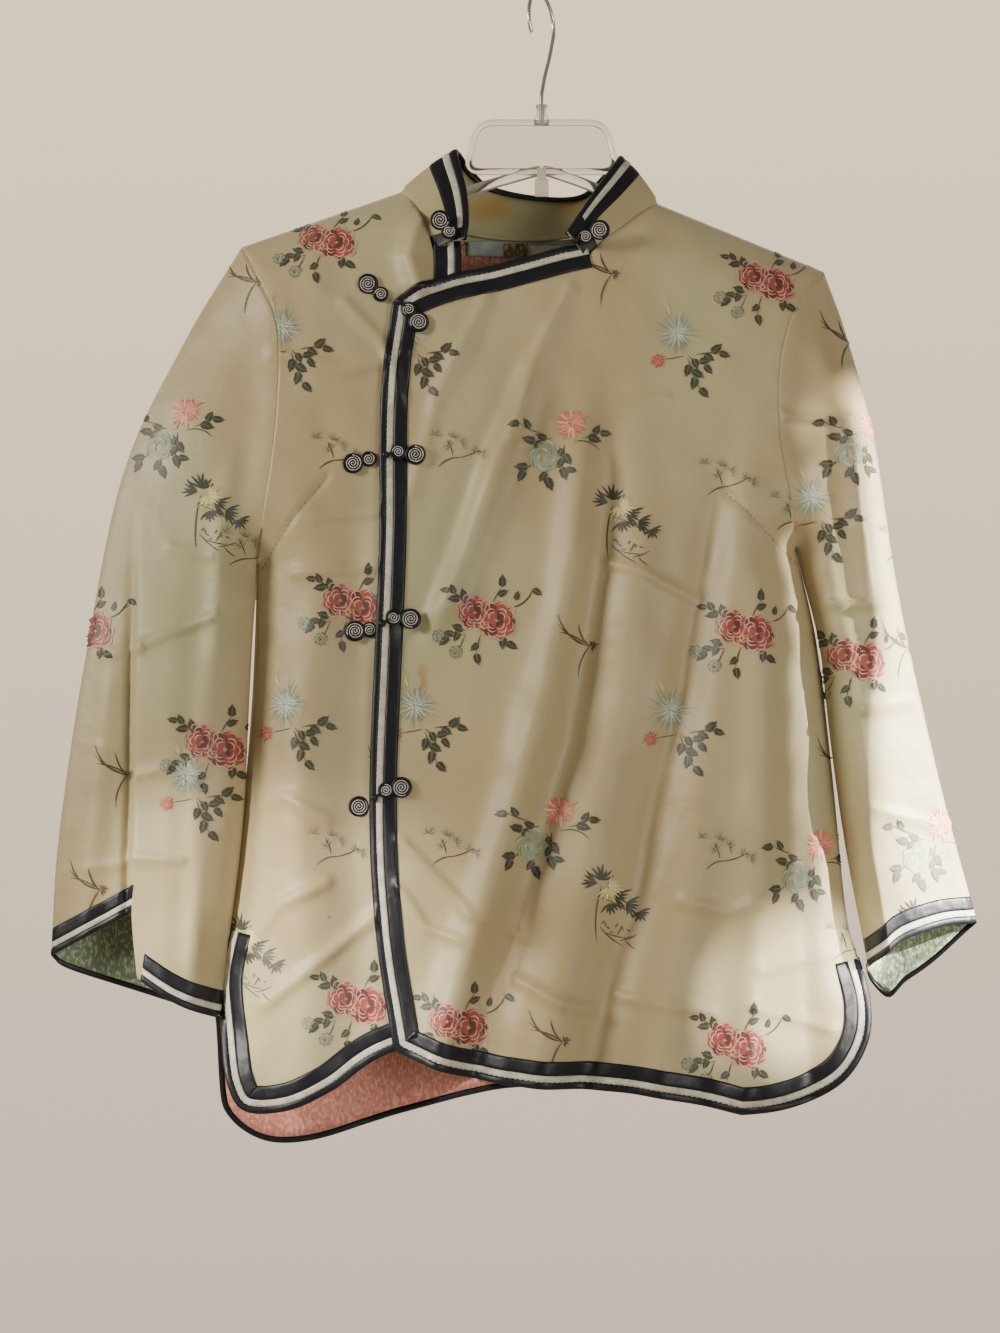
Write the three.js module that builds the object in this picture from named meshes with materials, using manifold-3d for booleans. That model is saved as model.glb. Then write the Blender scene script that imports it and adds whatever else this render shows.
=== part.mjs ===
// A tang jacket on a clothes hanger: open silk jacket with a stand collar, an offset front,
// triple-bound edges, coiled cord frogs and a clear hanger with a wire hook.
// Millimetres, +Z up, +X to the right of someone facing the front, front towards -Y.
// The origin is the inside top of the hook, where the hanger hangs.
import * as THREE from "three";
import { mergeVertices } from "three/addons/utils/BufferGeometryUtils.js";
import Module from "manifold-3d";

const wasm = await Module();
wasm.setup();

// ---------- driving sizes ----------
const CLOTH = 2.0; // wall of every garment panel
const TRIM = 1.0; // thickness of bindings, bands, linings and labels
const GAP = 0.3; // air between two pieces that meet
const HALF_GAP = GAP / 2;
const FRONT_BULGE = 30; // how far the front stands off the shoulder plane
const BACK_BULGE = 22;
const SLEEVE_BULGE = 22;
const ROUNDING = 50; // distance from an edge over which the cloth reaches its full bulge
const CENTRE = -10; // middle of the body across
const CHEST_HALF = 150; // the front keeps its full bulge this far from the middle
const ARM_FROM = 235; // from here outwards it has the bulge of a sleeve
const OVERLAP_STEP = 3.6; // the over front lies this far ahead of the under front
const OVERLAP_END = [-30, 90]; // across these places it comes down to the under front's level
const BORDER = { binding: [0, 4.4], piping: [4.7, 9.0], band: [9.3, 18.5] }; // from the edge inwards
const SHOULDER_COLUMNS = 5;
const NECK_COLUMNS = 7;
const BODY_COLUMNS = 2 * SHOULDER_COLUMNS + NECK_COLUMNS;
const ARMHOLE_ROWS = 6;
const SIDE_ROWS = 11;
const SLEEVE_ROWS = 12;
const HEM_FLOOR = -850; // panels are drawn down to here, then cut along their hems

const COLORS = {
  silk: [0xb2a787, 0.5, 0],
  navy: [0x14151d, 0.45, 0],
  piping: [0xd9d5c6, 0.7, 0],
  lining: [0xbe6e5a, 0.7, 0],
  facing: [0xa9b7b1, 0.7, 0],
  cuffLining: [0x74886a, 0.75, 0],
  cord: [0x8b8a86, 0.5, 0],
  label: [0xcfc3a4, 0.8, 0],
  plastic: [0xd8dad6, 0.15, 0],
  steel: [0x9a9c9e, 0.3, 1],
};

// ---------- outlines, as x and z of the places that shape them ----------
const NECK_LEFT = [-97, -143];
const NECK_RIGHT = [81, -152];
const HEM_HALF = 244;
const SLIT_LEFT = -673; // height of each side slit
const SLIT_RIGHT = -693;
const ARMHOLE_LEFT = [[-216, -185], [-200, -217], [-187, -250], [-187, -302], [-192, -352], [-203, -417]];
const ARMHOLE_RIGHT = [[203, -203], [187, -223], [174, -248], [167, -283], [168, -330], [181, -405]];
const SIDE_LEFT = [
  [-203, -417], [-206, -510], [-212, -588], [-222, SLIT_LEFT], [-238, -740], [-HEM_HALF, HEM_FLOOR],
];
const SIDE_RIGHT = [
  [181, -405], [195, -470], [205, -560], [214, -660], [222, SLIT_RIGHT], [240, -750], [HEM_HALF, HEM_FLOOR],
];
const OUTER_LEFT = [
  [-216, -185], [-256, -253], [-299, -348], [-325, -483], [-342, -610], [-349, -690], [-352, -770],
];
const INNER_LEFT = [[-203, -417], [-210, -510], [-217, -600], [-229, -690], [-233, -770]];
const OUTER_RIGHT = [
  [203, -203], [219, -250], [238, -325], [254, -437], [281, -568], [306, -672], [316, -745],
];
const INNER_RIGHT = [[181, -405], [199, -470], [210, -540], [220, -616], [236, -690], [242, -745]];

// Free edges, each a list of smooth stretches that meet at corners.
const OVER_EDGE = [
  [[17, -193], [-27, -205], [-62, -213], [-105, -231]],
  [[-105, -231], [-114, -300], [-114, -411], [-120, -580], [-114, -681], [-103, -751]],
  [[-103, -751], [-54, -772], [-8, -780], [55, -784], [135, -797]],
  [[135, -797], [176, -793], [207, -776], [224, -747], [226, -718], [222, -693]],
];
const UNDER_EDGE = [
  [[-58, -201], [-58, -300], [-54, -500], [-50, -738]],
  [[-50, -738], [-111, -758], [-176, -795], [-205, -796], [-222, -752], [-228, -710], [-222, -673]],
];
const BACK_EDGE = [
  [[-222, -673], [-229, -721], [-230, -780], [-197, -824], [-126, -812], [-52, -792], [11, -787], [110, -789],
    [180, -789], [216, -765], [227, -725], [222, -693]],
];
const LEFT_CUFF_FRONT = [
  [[-360, -700], [-342, -690], [-286, -658]],
  [[-286, -658], [-286, -705]],
  [[-286, -705], [-258, -722], [-215, -741]],
];
const LEFT_CUFF_BACK = [[[-360, -684], [-344, -692], [-281, -721], [-252, -731], [-215, -741]]];
const RIGHT_CUFF_FRONT = [[[225, -718], [241, -693], [256, -679], [283, -670], [320, -665]]];
const RIGHT_CUFF_BACK = [[[225, -690], [241, -712], [254, -722], [272, -703], [290, -690], [320, -655]]];

// Folds: the line each follows from top to bottom, its rise towards the front, and its half width.
const FOLDS = [
  { line: [[5, -253], [-30, -337], [-72, -456]], rise: 5, width: 15 },
  { line: [[36, -300], [17, -441], [-15, -569], [-57, -700]], rise: 6, width: 17 },
  { line: [[52, -298], [44, -408], [27, -540], [-2, -656], [-42, -780]], rise: -5, width: 14 },
  { line: [[141, -288], [117, -406], [96, -513], [61, -665], [25, -780]], rise: -5, width: 16 },
  { line: [[169, -344], [154, -425], [148, -540], [146, -691], [136, -800]], rise: 7, width: 19 },
  {
    line: [[194, -237], [220, -339], [228, -408], [233, -480], [238, -600], [252, -700]],
    rise: 7,
    width: 16,
  },
];
const BACK_FOLDS = [
  { line: [[-90, -330], [-110, -560], [-120, -820]], rise: 5, width: 26 },
  { line: [[-10, -260], [-5, -540], [5, -800]], rise: -5, width: 24 },
  { line: [[95, -330], [105, -560], [115, -800]], rise: 5, width: 26 },
];
// Necklines, where the collar is sewn on, and the parts of the back that are lined.
const NECKLINE_RIGHT = [[83, -151], [65, -171], [46, -187], [31, -204]];
const NECKLINE_LEFT = [[-99, -142], [-91, -160], [-83, -178], [-77, -201]];
const NECKLINE_BACK = [
  [83, -153], [62, -165], [31, -174], [-10, -177], [-52, -172], [-82, -160], [-99, -144],
];
const NECK_LINING = [
  [-130, -290], [130, -290], [130, -212], [90, -192], [60, -184], [20, -180], [-20, -180], [-55, -186],
  [-90, -200], [-130, -212],
];
const HEM_LINING = { inset: 5, left: -216, right: 214, top: -660, topHalf: 195 };
const FACING_SIDES = [-50, 50, -183, -193]; // left, right, top and bottom
const SMALL_LABEL_SIDES = [-27, -9, -184, -194];
const LARGE_LABEL_SIDES = [-8, 16, -185, -197];
const CUFF_LINING_SIDES = { left_sleeve: [-322, -254], right_sleeve: [250, 279] };
const CUFF_LINING_SPAN = [5, 62]; // from the cuff edge upwards
const SLEEVE_STEP = { x: -284, width: 9, rise: 8, top: -400, full: -520 };

// ---------- small helpers ----------
const clamp01 = (t) => Math.min(1, Math.max(0, t));
const smoothstep = (low, high, value) => {
  const t = clamp01((value - low) / (high - low));
  return t * t * (3 - 2 * t);
};

// Points at equal spacing along a smooth curve through the given places.
function spaced(places, segments) {
  const curve = new THREE.SplineCurve(places.map(([x, z]) => new THREE.Vector2(x, z)));
  return curve.getSpacedPoints(segments).map((p) => [p.x, p.y]);
}

const line = (from, to, segments) =>
  Array.from({ length: segments + 1 }, (_, i) => {
    const t = i / segments;
    return [from[0] + (to[0] - from[0]) * t, from[1] + (to[1] - from[1]) * t];
  });

const sampled = {
  armholeLeft: spaced(ARMHOLE_LEFT, ARMHOLE_ROWS),
  armholeRight: spaced(ARMHOLE_RIGHT, ARMHOLE_ROWS),
  sideLeft: spaced(SIDE_LEFT, SIDE_ROWS),
  sideRight: spaced(SIDE_RIGHT, SIDE_ROWS),
  outerLeft: spaced(OUTER_LEFT, SLEEVE_ROWS),
  innerLeft: spaced(INNER_LEFT, SLEEVE_ROWS),
  outerRight: spaced(OUTER_RIGHT, SLEEVE_ROWS),
  innerRight: spaced(INNER_RIGHT, SLEEVE_ROWS),
};
const shoulders = [
  ...line(ARMHOLE_LEFT[0], NECK_LEFT, SHOULDER_COLUMNS),
  ...line(NECK_LEFT, NECK_RIGHT, NECK_COLUMNS).slice(1),
  ...line(NECK_RIGHT, ARMHOLE_RIGHT[0], SHOULDER_COLUMNS).slice(1),
];

// The cloth is flat together along these lines, and bulges away from them.
const SLIT_TOP = -695;
const CLOSED_LINES = [
  shoulders,
  sampled.sideLeft.filter(([, z]) => z > SLIT_TOP),
  sampled.sideRight.filter(([, z]) => z > SLIT_TOP),
  sampled.outerLeft,
  sampled.innerLeft,
  sampled.outerRight,
  sampled.innerRight,
];

function distanceToSegment(x, z, a, b) {
  const dx = b[0] - a[0];
  const dz = b[1] - a[1];
  const t = clamp01(((x - a[0]) * dx + (z - a[1]) * dz) / (dx * dx + dz * dz));
  return Math.hypot(x - a[0] - t * dx, z - a[1] - t * dz);
}

// 0 on a closed line, rising along a parabola to 1 at ROUNDING millimetres from it.
function fullness(x, z) {
  let nearest = ROUNDING;
  for (const path of CLOSED_LINES) {
    for (let i = 1; i < path.length; i += 1) {
      nearest = Math.min(nearest, distanceToSegment(x, z, path[i - 1], path[i]));
    }
  }
  return 1 - (1 - nearest / ROUNDING) ** 2;
}

// Height of the folds at a place: a smooth ridge or furrow beside each line, fading in at its ends.
function foldRise(folds, x, z) {
  let rise = 0;
  for (const fold of folds) {
    const top = fold.line[0][1];
    const bottom = fold.line.at(-1)[1];
    if (z > top || z < bottom) {
      continue;
    }
    const next = fold.line.findIndex((p) => p[1] <= z);
    const [x0, z0] = fold.line[Math.max(0, next - 1)];
    const [x1, z1] = fold.line[Math.max(1, next)];
    const along = (z - z0) / (z1 - z0);
    const aside = (x - x0 - (x1 - x0) * along) / fold.width;
    const fade = smoothstep(0, 0.3, (top - z) / (top - bottom));
    rise += fold.rise * fade * Math.exp(-aside * aside);
  }
  return rise;
}

function sleeveStep(x, z) {
  const { x: edge, width, rise, top, full } = SLEEVE_STEP;
  return rise * smoothstep(edge - width, edge + width, x) * smoothstep(top, full, z) * (x < -200 ? 1 : 0);
}

// Inner face of the front and of the back of the whole garment, as y over x and z.
function frontY(x, z) {
  const full = fullness(x, z);
  const bulge = THREE.MathUtils.lerp(
    FRONT_BULGE, SLEEVE_BULGE, smoothstep(CHEST_HALF, ARM_FROM, Math.abs(x - CENTRE)),
  );
  return -full * (bulge + foldRise(FOLDS, x, z) + sleeveStep(x, z));
}
function backY(x, z) {
  return fullness(x, z) * (BACK_BULGE + foldRise(BACK_FOLDS, x, z));
}
const overLift = (x) => OVERLAP_STEP * (1 - smoothstep(...OVERLAP_END, x));

// A grid of places between four edge curves that share their corner points.
function patch(top, bottom, left, right) {
  const across = top.length - 1;
  const down = left.length - 1;
  const rows = [];
  for (let j = 0; j <= down; j += 1) {
    const v = j / down;
    const row = [];
    for (let i = 0; i <= across; i += 1) {
      const u = i / across;
      row.push([0, 1].map((k) =>
        (1 - v) * top[i][k] + v * bottom[i][k] + (1 - u) * left[j][k] + u * right[j][k]
        - (1 - u) * (1 - v) * top[0][k] - u * (1 - v) * top[across][k]
        - (1 - u) * v * bottom[0][k] - u * v * bottom[across][k]));
    }
    rows.push(row);
  }
  return rows;
}

// ---------- solids ----------
function toManifold(positions, triangles) {
  const mesh = new wasm.Mesh({
    numProp: 3,
    vertProperties: new Float32Array(positions),
    triVerts: new Uint32Array(triangles),
  });
  mesh.merge();
  return new wasm.Manifold(mesh);
}

function geometryToManifold(geometry) {
  const bare = geometry.clone();
  bare.deleteAttribute("normal");
  bare.deleteAttribute("uv");
  const merged = mergeVertices(bare, 1e-4);
  return toManifold(merged.attributes.position.array, merged.index.array);
}

// Two equal grids of points, one after the other, closed into one solid with its faces outwards.
function closedGrid(positions, down, across) {
  const count = down * across;
  const triangles = [];
  const quad = (a, b, c, d) => triangles.push(a, b, c, a, c, d);
  const rim = [];
  for (let j = 0; j < down - 1; j += 1) {
    for (let i = 0; i < across - 1; i += 1) {
      const a = j * across + i;
      quad(a, a + across, a + across + 1, a + 1);
      quad(count + a, count + a + 1, count + a + across + 1, count + a + across);
    }
  }
  for (let i = 0; i < across - 1; i += 1) {
    rim.push(i);
  }
  for (let j = 0; j < down - 1; j += 1) {
    rim.push(j * across + across - 1);
  }
  for (let i = across - 1; i > 0; i -= 1) {
    rim.push((down - 1) * across + i);
  }
  for (let j = down - 1; j > 0; j -= 1) {
    rim.push(j * across);
  }
  rim.forEach((a, k) => {
    const b = rim[(k + 1) % rim.length];
    quad(a, b, count + b, count + a);
  });
  return outwards(positions, triangles);
}

// The solid of a closed mesh, turned so that its faces point out.
function outwards(positions, triangles) {
  if (signedVolume(positions, triangles) < 0) {
    for (let t = 0; t < triangles.length; t += 3) {
      [triangles[t + 1], triangles[t + 2]] = [triangles[t + 2], triangles[t + 1]];
    }
  }
  return toManifold(positions, triangles);
}

// A sheet over a grid of places, between two y faces given as functions of x and z.
function sheet(grid, nearY, farY) {
  const positions = [];
  for (const face of [nearY, farY]) {
    for (const [x, z] of grid.flat()) {
      positions.push(x, face(x, z), z);
    }
  }
  return closedGrid(positions, grid.length, grid[0].length);
}

function signedVolume(positions, triangles) {
  let total = 0;
  const corner = (index) => new THREE.Vector3().fromArray(positions, 3 * index);
  for (let t = 0; t < triangles.length; t += 3) {
    const [a, b, c] = [0, 1, 2].map((k) => corner(triangles[t + k]));
    total += a.dot(b.cross(c)) / 6;
  }
  return total;
}

// A block through the whole depth of the garment over an outline in x and z.
const BLOCK_DEPTH = 300;
const STRAIGHT = 0.5; // a corner flatter than this, in square millimetres, is left out of a block
function block(outline, from = -BLOCK_DEPTH / 2, to = BLOCK_DEPTH / 2) {
  const corners = outline.filter(([x, z], k) => {
    const [x0, z0] = outline.at(k - 1);
    const [x1, z1] = outline[(k + 1) % outline.length];
    return Math.abs((x - x0) * (z1 - z) - (z - z0) * (x1 - x)) > STRAIGHT;
  });
  const shape = new THREE.Shape(corners.map(([x, z]) => new THREE.Vector2(x, z)));
  const geometry = new THREE.ExtrudeGeometry(shape, { depth: to - from, bevelEnabled: false, steps: 1 });
  geometry.rotateX(Math.PI / 2);
  geometry.translate(0, to, 0);
  return geometryToManifold(geometry);
}

const rectangle = (left, right, top, bottom) =>
  block([[left, top], [left, bottom], [right, bottom], [right, top]]);

// All the points of a free edge, its stretches smoothed one by one.
const EDGE_STEP = 34;
function edgePoints(stretches) {
  const points = [stretches[0][0]];
  for (const stretch of stretches) {
    const curve = new THREE.SplineCurve(stretch.map(([x, z]) => new THREE.Vector2(x, z)));
    const segments = Math.max(1, Math.round(curve.getLength() / EDGE_STEP));
    points.push(...curve.getSpacedPoints(segments).slice(1).map((p) => [p.x, p.y]));
  }
  return points;
}

// The same edge moved sideways into the cloth, mitred at its corners.
function inset(points, distance, side) {
  return points.map(([x, z], k) => {
    const before = points[Math.max(0, k - 1)];
    const after = points[Math.min(points.length - 1, k + 1)];
    const first = new THREE.Vector2(x - before[0], z - before[1]).normalize();
    const second = new THREE.Vector2(after[0] - x, after[1] - z).normalize();
    const along = first.clone().add(second).normalize();
    const mitre = Math.max(0.5, k > 0 && k < points.length - 1 ? along.dot(first) : 1);
    const reach = (side * distance) / mitre;
    return [x - along.y * reach, z + along.x * reach];
  });
}

// A block over the strip between two insets of a free edge.
function ribbon(points, [near, far], side) {
  const strip = [...inset(points, near, side), ...inset(points, far, side)];
  const positions = [-BLOCK_DEPTH / 2, BLOCK_DEPTH / 2].flatMap((y) => strip.flatMap(([x, z]) => [x, y, z]));
  return closedGrid(positions, 2, points.length);
}

// ---------- the object ----------
const jacket = new THREE.Group();
jacket.name = "tang_jacket_on_hanger";

// The main body of a cut piece, without the crumbs that a cut can leave at a corner.
function mainBody(manifold) {
  const bodies = manifold.decompose();
  return bodies.reduce((best, body) => (body.volume() > best.volume() ? body : best));
}

function addSolid(name, manifold, look) {
  const { numProp, vertProperties, triVerts } = mainBody(manifold).getMesh();
  const positions = new Float32Array((vertProperties.length / numProp) * 3);
  for (let i = 0; i < positions.length / 3; i += 1) {
    positions.set(vertProperties.subarray(i * numProp, i * numProp + 3), i * 3);
  }
  const geometry = new THREE.BufferGeometry();
  geometry.setAttribute("position", new THREE.BufferAttribute(positions, 3));
  geometry.setIndex(new THREE.BufferAttribute(triVerts, 1));
  geometry.computeVertexNormals();
  const [color, roughness, metalness] = COLORS[look];
  const mesh = new THREE.Mesh(geometry, new THREE.MeshStandardMaterial({ color, roughness, metalness }));
  mesh.name = name;
  jacket.add(mesh);
}

const shifted = (points, dx) => points.map(([x, z]) => [x + dx, z]);
const hemLine = line([-HEM_HALF, HEM_FLOOR], [HEM_HALF, HEM_FLOOR], BODY_COLUMNS);
const bodyGrid = patch(
  shoulders,
  hemLine,
  [...shifted(sampled.armholeLeft, HALF_GAP), ...sampled.sideLeft.slice(1)],
  [...shifted(sampled.armholeRight, -HALF_GAP), ...sampled.sideRight.slice(1)],
);

const FAR = 320; // past the widest part of every panel
const ABOVE = -90; // above the highest part of every panel
const overEdge = edgePoints(OVER_EDGE);
const underEdge = edgePoints(UNDER_EDGE);
const backEdge = edgePoints(BACK_EDGE);
const overOutline = block([
  ...overEdge, [FAR, SLIT_RIGHT], [FAR, ABOVE], [NECKLINE_RIGHT[0][0], ABOVE], ...NECKLINE_RIGHT,
]);
const underOutline = block([
  ...underEdge, [-FAR, SLIT_LEFT], [-FAR, ABOVE], [NECKLINE_LEFT[0][0], ABOVE], ...NECKLINE_LEFT,
]);
const backOutline = block([
  ...backEdge, [FAR, SLIT_RIGHT], [FAR, ABOVE], [NECKLINE_BACK[0][0], ABOVE], ...NECKLINE_BACK,
  [NECKLINE_BACK.at(-1)[0], ABOVE], [-FAR, ABOVE], [-FAR, SLIT_LEFT],
]);

// Face of the over front, the under front and the back at a depth counted outwards from the inner face.
const overFace = (out) => (x, z) => frontY(x, z) - HALF_GAP - overLift(x) - out;
const underFace = (out) => (x, z) => frontY(x, z) - HALF_GAP - out;
const backFace = (out) => (x, z) => backY(x, z) + HALF_GAP + out;

function addPanelWithBorder(name, grid, outline, face, edge, side) {
  addSolid(name, sheet(grid, face(0), face(CLOTH)).intersect(outline), "silk");
  const trimSheet = sheet(grid, face(CLOTH + GAP), face(CLOTH + GAP + TRIM));
  for (const [kind, span] of Object.entries(BORDER)) {
    const look = kind === "piping" ? "piping" : "navy";
    addSolid(`${name}_${kind}`, trimSheet.intersect(ribbon(edge, span, side)), look);
  }
}
addPanelWithBorder("over_front", bodyGrid, overOutline, overFace, overEdge, 1);
addPanelWithBorder("under_front", bodyGrid, underOutline, underFace, underEdge, -1);
addPanelWithBorder("back", bodyGrid, backOutline, backFace, backEdge, 1);

// ---------- sleeves ----------
// One closed tube wall: each row runs across the front and returns across the back.
function sleeveTube(grid) {
  const last = grid[0].length - 1;
  const ring = [];
  for (let i = 0; i <= last; i += 1) {
    ring.push({ column: i, isFront: true });
  }
  for (let i = last - 1; i > 0; i -= 1) {
    ring.push({ column: i, isFront: false });
  }
  const inner = [];
  const outer = [];
  for (const row of grid) {
    for (const { column, isFront } of ring) {
      const [x, z] = row[column];
      const isFold = column === 0 || column === last;
      const [nextX, nextZ] = row[column === 0 ? 1 : last - 1];
      const inwards = CLOTH / Math.hypot(nextX - x, nextZ - z);
      const y = isFront ? frontY(x, z) : backY(x, z);
      const out = isFront ? -CLOTH : CLOTH;
      inner.push(isFold ? [x + (nextX - x) * inwards, 0, z + (nextZ - z) * inwards] : [x, y, z]);
      outer.push(isFold ? [x, 0, z] : [x, y + out, z]);
    }
  }
  const count = inner.length;
  const width = ring.length;
  const triangles = [];
  const quad = (a, b, c, d) => triangles.push(a, b, c, a, c, d);
  // Both walls split their cells along the same diagonal as the sheets that lie on them.
  for (let j = 0; j < grid.length - 1; j += 1) {
    for (let i = 0; i < width; i += 1) {
      const a = j * width + i;
      const b = j * width + ((i + 1) % width);
      if (ring[i].isFront && i < last) {
        quad(a, a + width, b + width, b);
        quad(count + a, count + b, count + b + width, count + a + width);
      } else {
        quad(b, a, a + width, b + width);
        quad(count + b, count + b + width, count + a + width, count + a);
      }
    }
  }
  for (const [start, flip] of [[0, false], [(grid.length - 1) * width, true]]) {
    for (let i = 0; i < width; i += 1) {
      const a = start + i;
      const b = start + ((i + 1) % width);
      if (flip) {
        quad(b, a, count + a, count + b);
      } else {
        quad(a, b, count + b, count + a);
      }
    }
  }
  return outwards([...inner, ...outer].flat(), triangles);
}

const CUT_OVERLAP = 0.1; // the cuts of the two walls meet past the plane between them
const NEAR_SLEEVE = 160; // a sleeve hangs between these two distances from the middle
const PAST_SLEEVE = 400;
function addSleeve(name, armhole, outer, inner, shift, front, back, side) {
  const bottom = line(outer.at(-1), inner.at(-1), ARMHOLE_ROWS);
  const grid = patch(shifted(armhole, shift), bottom, outer, inner);
  const ends = side < 0 ? [-NEAR_SLEEVE, -PAST_SLEEVE] : [PAST_SLEEVE, NEAR_SLEEVE];
  const below = ends.map((x) => [x, HEM_FLOOR]);
  const frontEdge = edgePoints(front);
  const backEdgePoints = edgePoints(back);
  const frontAt = (out) => (x, z) => frontY(x, z) - out;
  const backAt = (out) => (x, z) => backY(x, z) + out;
  const tubeWall = sleeveTube(grid)
    .subtract(block([...frontEdge, ...below], -BLOCK_DEPTH / 2, CUT_OVERLAP))
    .subtract(block([...backEdgePoints, ...below], -CUT_OVERLAP, BLOCK_DEPTH / 2));
  addSolid(name, tubeWall, "silk");
  const frontTrim = sheet(grid, frontAt(CLOTH + GAP), frontAt(CLOTH + GAP + TRIM));
  const backTrim = sheet(grid, backAt(CLOTH + GAP), backAt(CLOTH + GAP + TRIM));
  for (const [kind, span] of Object.entries(BORDER)) {
    const look = kind === "piping" ? "piping" : "navy";
    addSolid(`${name}_cuff_front_${kind}`, frontTrim.intersect(ribbon(frontEdge, span, 1)), look);
    addSolid(`${name}_cuff_back_${kind}`, backTrim.intersect(ribbon(backEdgePoints, span, 1)), look);
  }
  const lining = sheet(grid, backAt(-GAP - TRIM), backAt(-GAP))
    .intersect(ribbon(backEdgePoints, CUFF_LINING_SPAN, 1));
  const strip = rectangle(...CUFF_LINING_SIDES[name], ABOVE, HEM_FLOOR);
  addSolid(`${name}_lining`, lining.intersect(strip), "cuffLining");
}
addSleeve("left_sleeve", sampled.armholeLeft, sampled.outerLeft, sampled.innerLeft, -HALF_GAP,
  LEFT_CUFF_FRONT, LEFT_CUFF_BACK, -1);
addSleeve("right_sleeve", sampled.armholeRight, sampled.outerRight, sampled.innerRight, HALF_GAP,
  RIGHT_CUFF_FRONT, RIGHT_CUFF_BACK, 1);

// ---------- linings, neck facing and labels inside the back ----------
const insideBack = (from, to) => sheet(bodyGrid, backFace(-from), backFace(-to));
const liningSheet = insideBack(GAP, GAP + TRIM);
const liningHem = inset(backEdge, HEM_LINING.inset, 1)
  .filter(([x]) => x > HEM_LINING.left && x < HEM_LINING.right);
const hemLining = block([
  ...liningHem, [HEM_LINING.topHalf, HEM_LINING.top], [-HEM_LINING.topHalf, HEM_LINING.top],
]);
addSolid("back_lining_at_neck", liningSheet.intersect(block(NECK_LINING)), "lining");
addSolid("back_lining_at_hem", liningSheet.intersect(hemLining), "lining");

const facing = insideBack(2 * GAP + TRIM, 2 * GAP + 2 * TRIM).intersect(rectangle(...FACING_SIDES));
addSolid("neck_facing", facing, "facing");
const labelSheet = insideBack(3 * GAP + 2 * TRIM, 3 * GAP + 3 * TRIM);
addSolid("small_label", labelSheet.intersect(rectangle(...SMALL_LABEL_SIDES)), "label");
addSolid("large_label", labelSheet.intersect(rectangle(...LARGE_LABEL_SIDES)), "label");

// ---------- collar ----------
// Stations round the neck from the left front end to the right one: seam place and top place.
const COLLAR_STATIONS = [
  { seam: [-75, -198], top: [-55, -190], topY: -36 },
  { seam: [-81, -178], top: [-53, -172], topY: -32 },
  { seam: [-89, -160], top: [-55, -148], topY: -20 },
  { seam: [-97, -142], top: [-62, -115], topY: -2 },
  { seam: [-82, -157], top: [-53, -122], topY: 16 },
  { seam: [-52, -169], top: [-38, -134], topY: 24 },
  { seam: [-10, -174], top: [-5, -141], topY: 27 },
  { seam: [31, -171], top: [28, -141], topY: 26 },
  { seam: [62, -162], top: [46, -128], topY: 19 },
  { seam: [81, -150], top: [57, -118], topY: 2 },
  { seam: [63, -170], top: [47, -136], topY: -16 },
  { seam: [44, -186], top: [32, -160], topY: -29 },
  { seam: [30, -202], top: [17, -184], topY: -37 },
];
const COLLAR_LIFT = 1.2; // the collar starts this far above the neckline of the panels
const COLLAR_TRIM_GAP = 0.7;
const COLLAR_SEGMENTS = 26;
const COLLAR_SPANS = {
  collar: [0, 0.33, 0.66, 1],
  collar_band: [0.52, 0.76],
  collar_piping: [0.77, 0.87],
  collar_binding: [0.88, 1],
};
const BACK_STATIONS = [4, 8]; // first and last station sewn to the back

function collarCurves() {
  const seam = COLLAR_STATIONS.map(({ seam: [x, z] }, k) => {
    const isBack = k >= BACK_STATIONS[0] && k <= BACK_STATIONS[1];
    const y = isBack ? backY(x, z) : frontY(x, z) - (k > BACK_STATIONS[1] ? overLift(x) : 0);
    return new THREE.Vector3(x, y, z + COLLAR_LIFT);
  });
  const top = COLLAR_STATIONS.map(({ top: [x, z], topY }) => new THREE.Vector3(x, topY, z));
  return [seam, top].map((points) => new THREE.CatmullRomCurve3(points, false, "centripetal"));
}

// Closed shell over rows of a ruled surface, between two distances along its normal.
function ruledShell(rows, near, far) {
  const [seam, top] = collarCurves();
  const at = (k, v) => {
    const t = k / COLLAR_SEGMENTS;
    return seam.getPoint(t).lerp(top.getPoint(t), v);
  };
  const normalAt = (k, v) => {
    const before = at(Math.max(0, k - 1), v);
    const along = at(Math.min(COLLAR_SEGMENTS, k + 1), v).sub(before);
    return along.cross(at(k, 1).sub(at(k, 0))).normalize();
  };
  const positions = [];
  for (const out of [near, far]) {
    for (const v of rows) {
      for (let k = 0; k <= COLLAR_SEGMENTS; k += 1) {
        positions.push(...at(k, v).addScaledVector(normalAt(k, v), out).toArray());
      }
    }
  }
  return closedGrid(positions, rows.length, COLLAR_SEGMENTS + 1);
}

for (const [name, look] of [["collar", "silk"], ["collar_band", "navy"], ["collar_piping", "piping"],
  ["collar_binding", "navy"]]) {
  const span = COLLAR_SPANS[name];
  const [near, far] = name === "collar" ? [0, -CLOTH] : [COLLAR_TRIM_GAP, COLLAR_TRIM_GAP + TRIM];
  addSolid(name, ruledShell(span, near, far), look);
}

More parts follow.
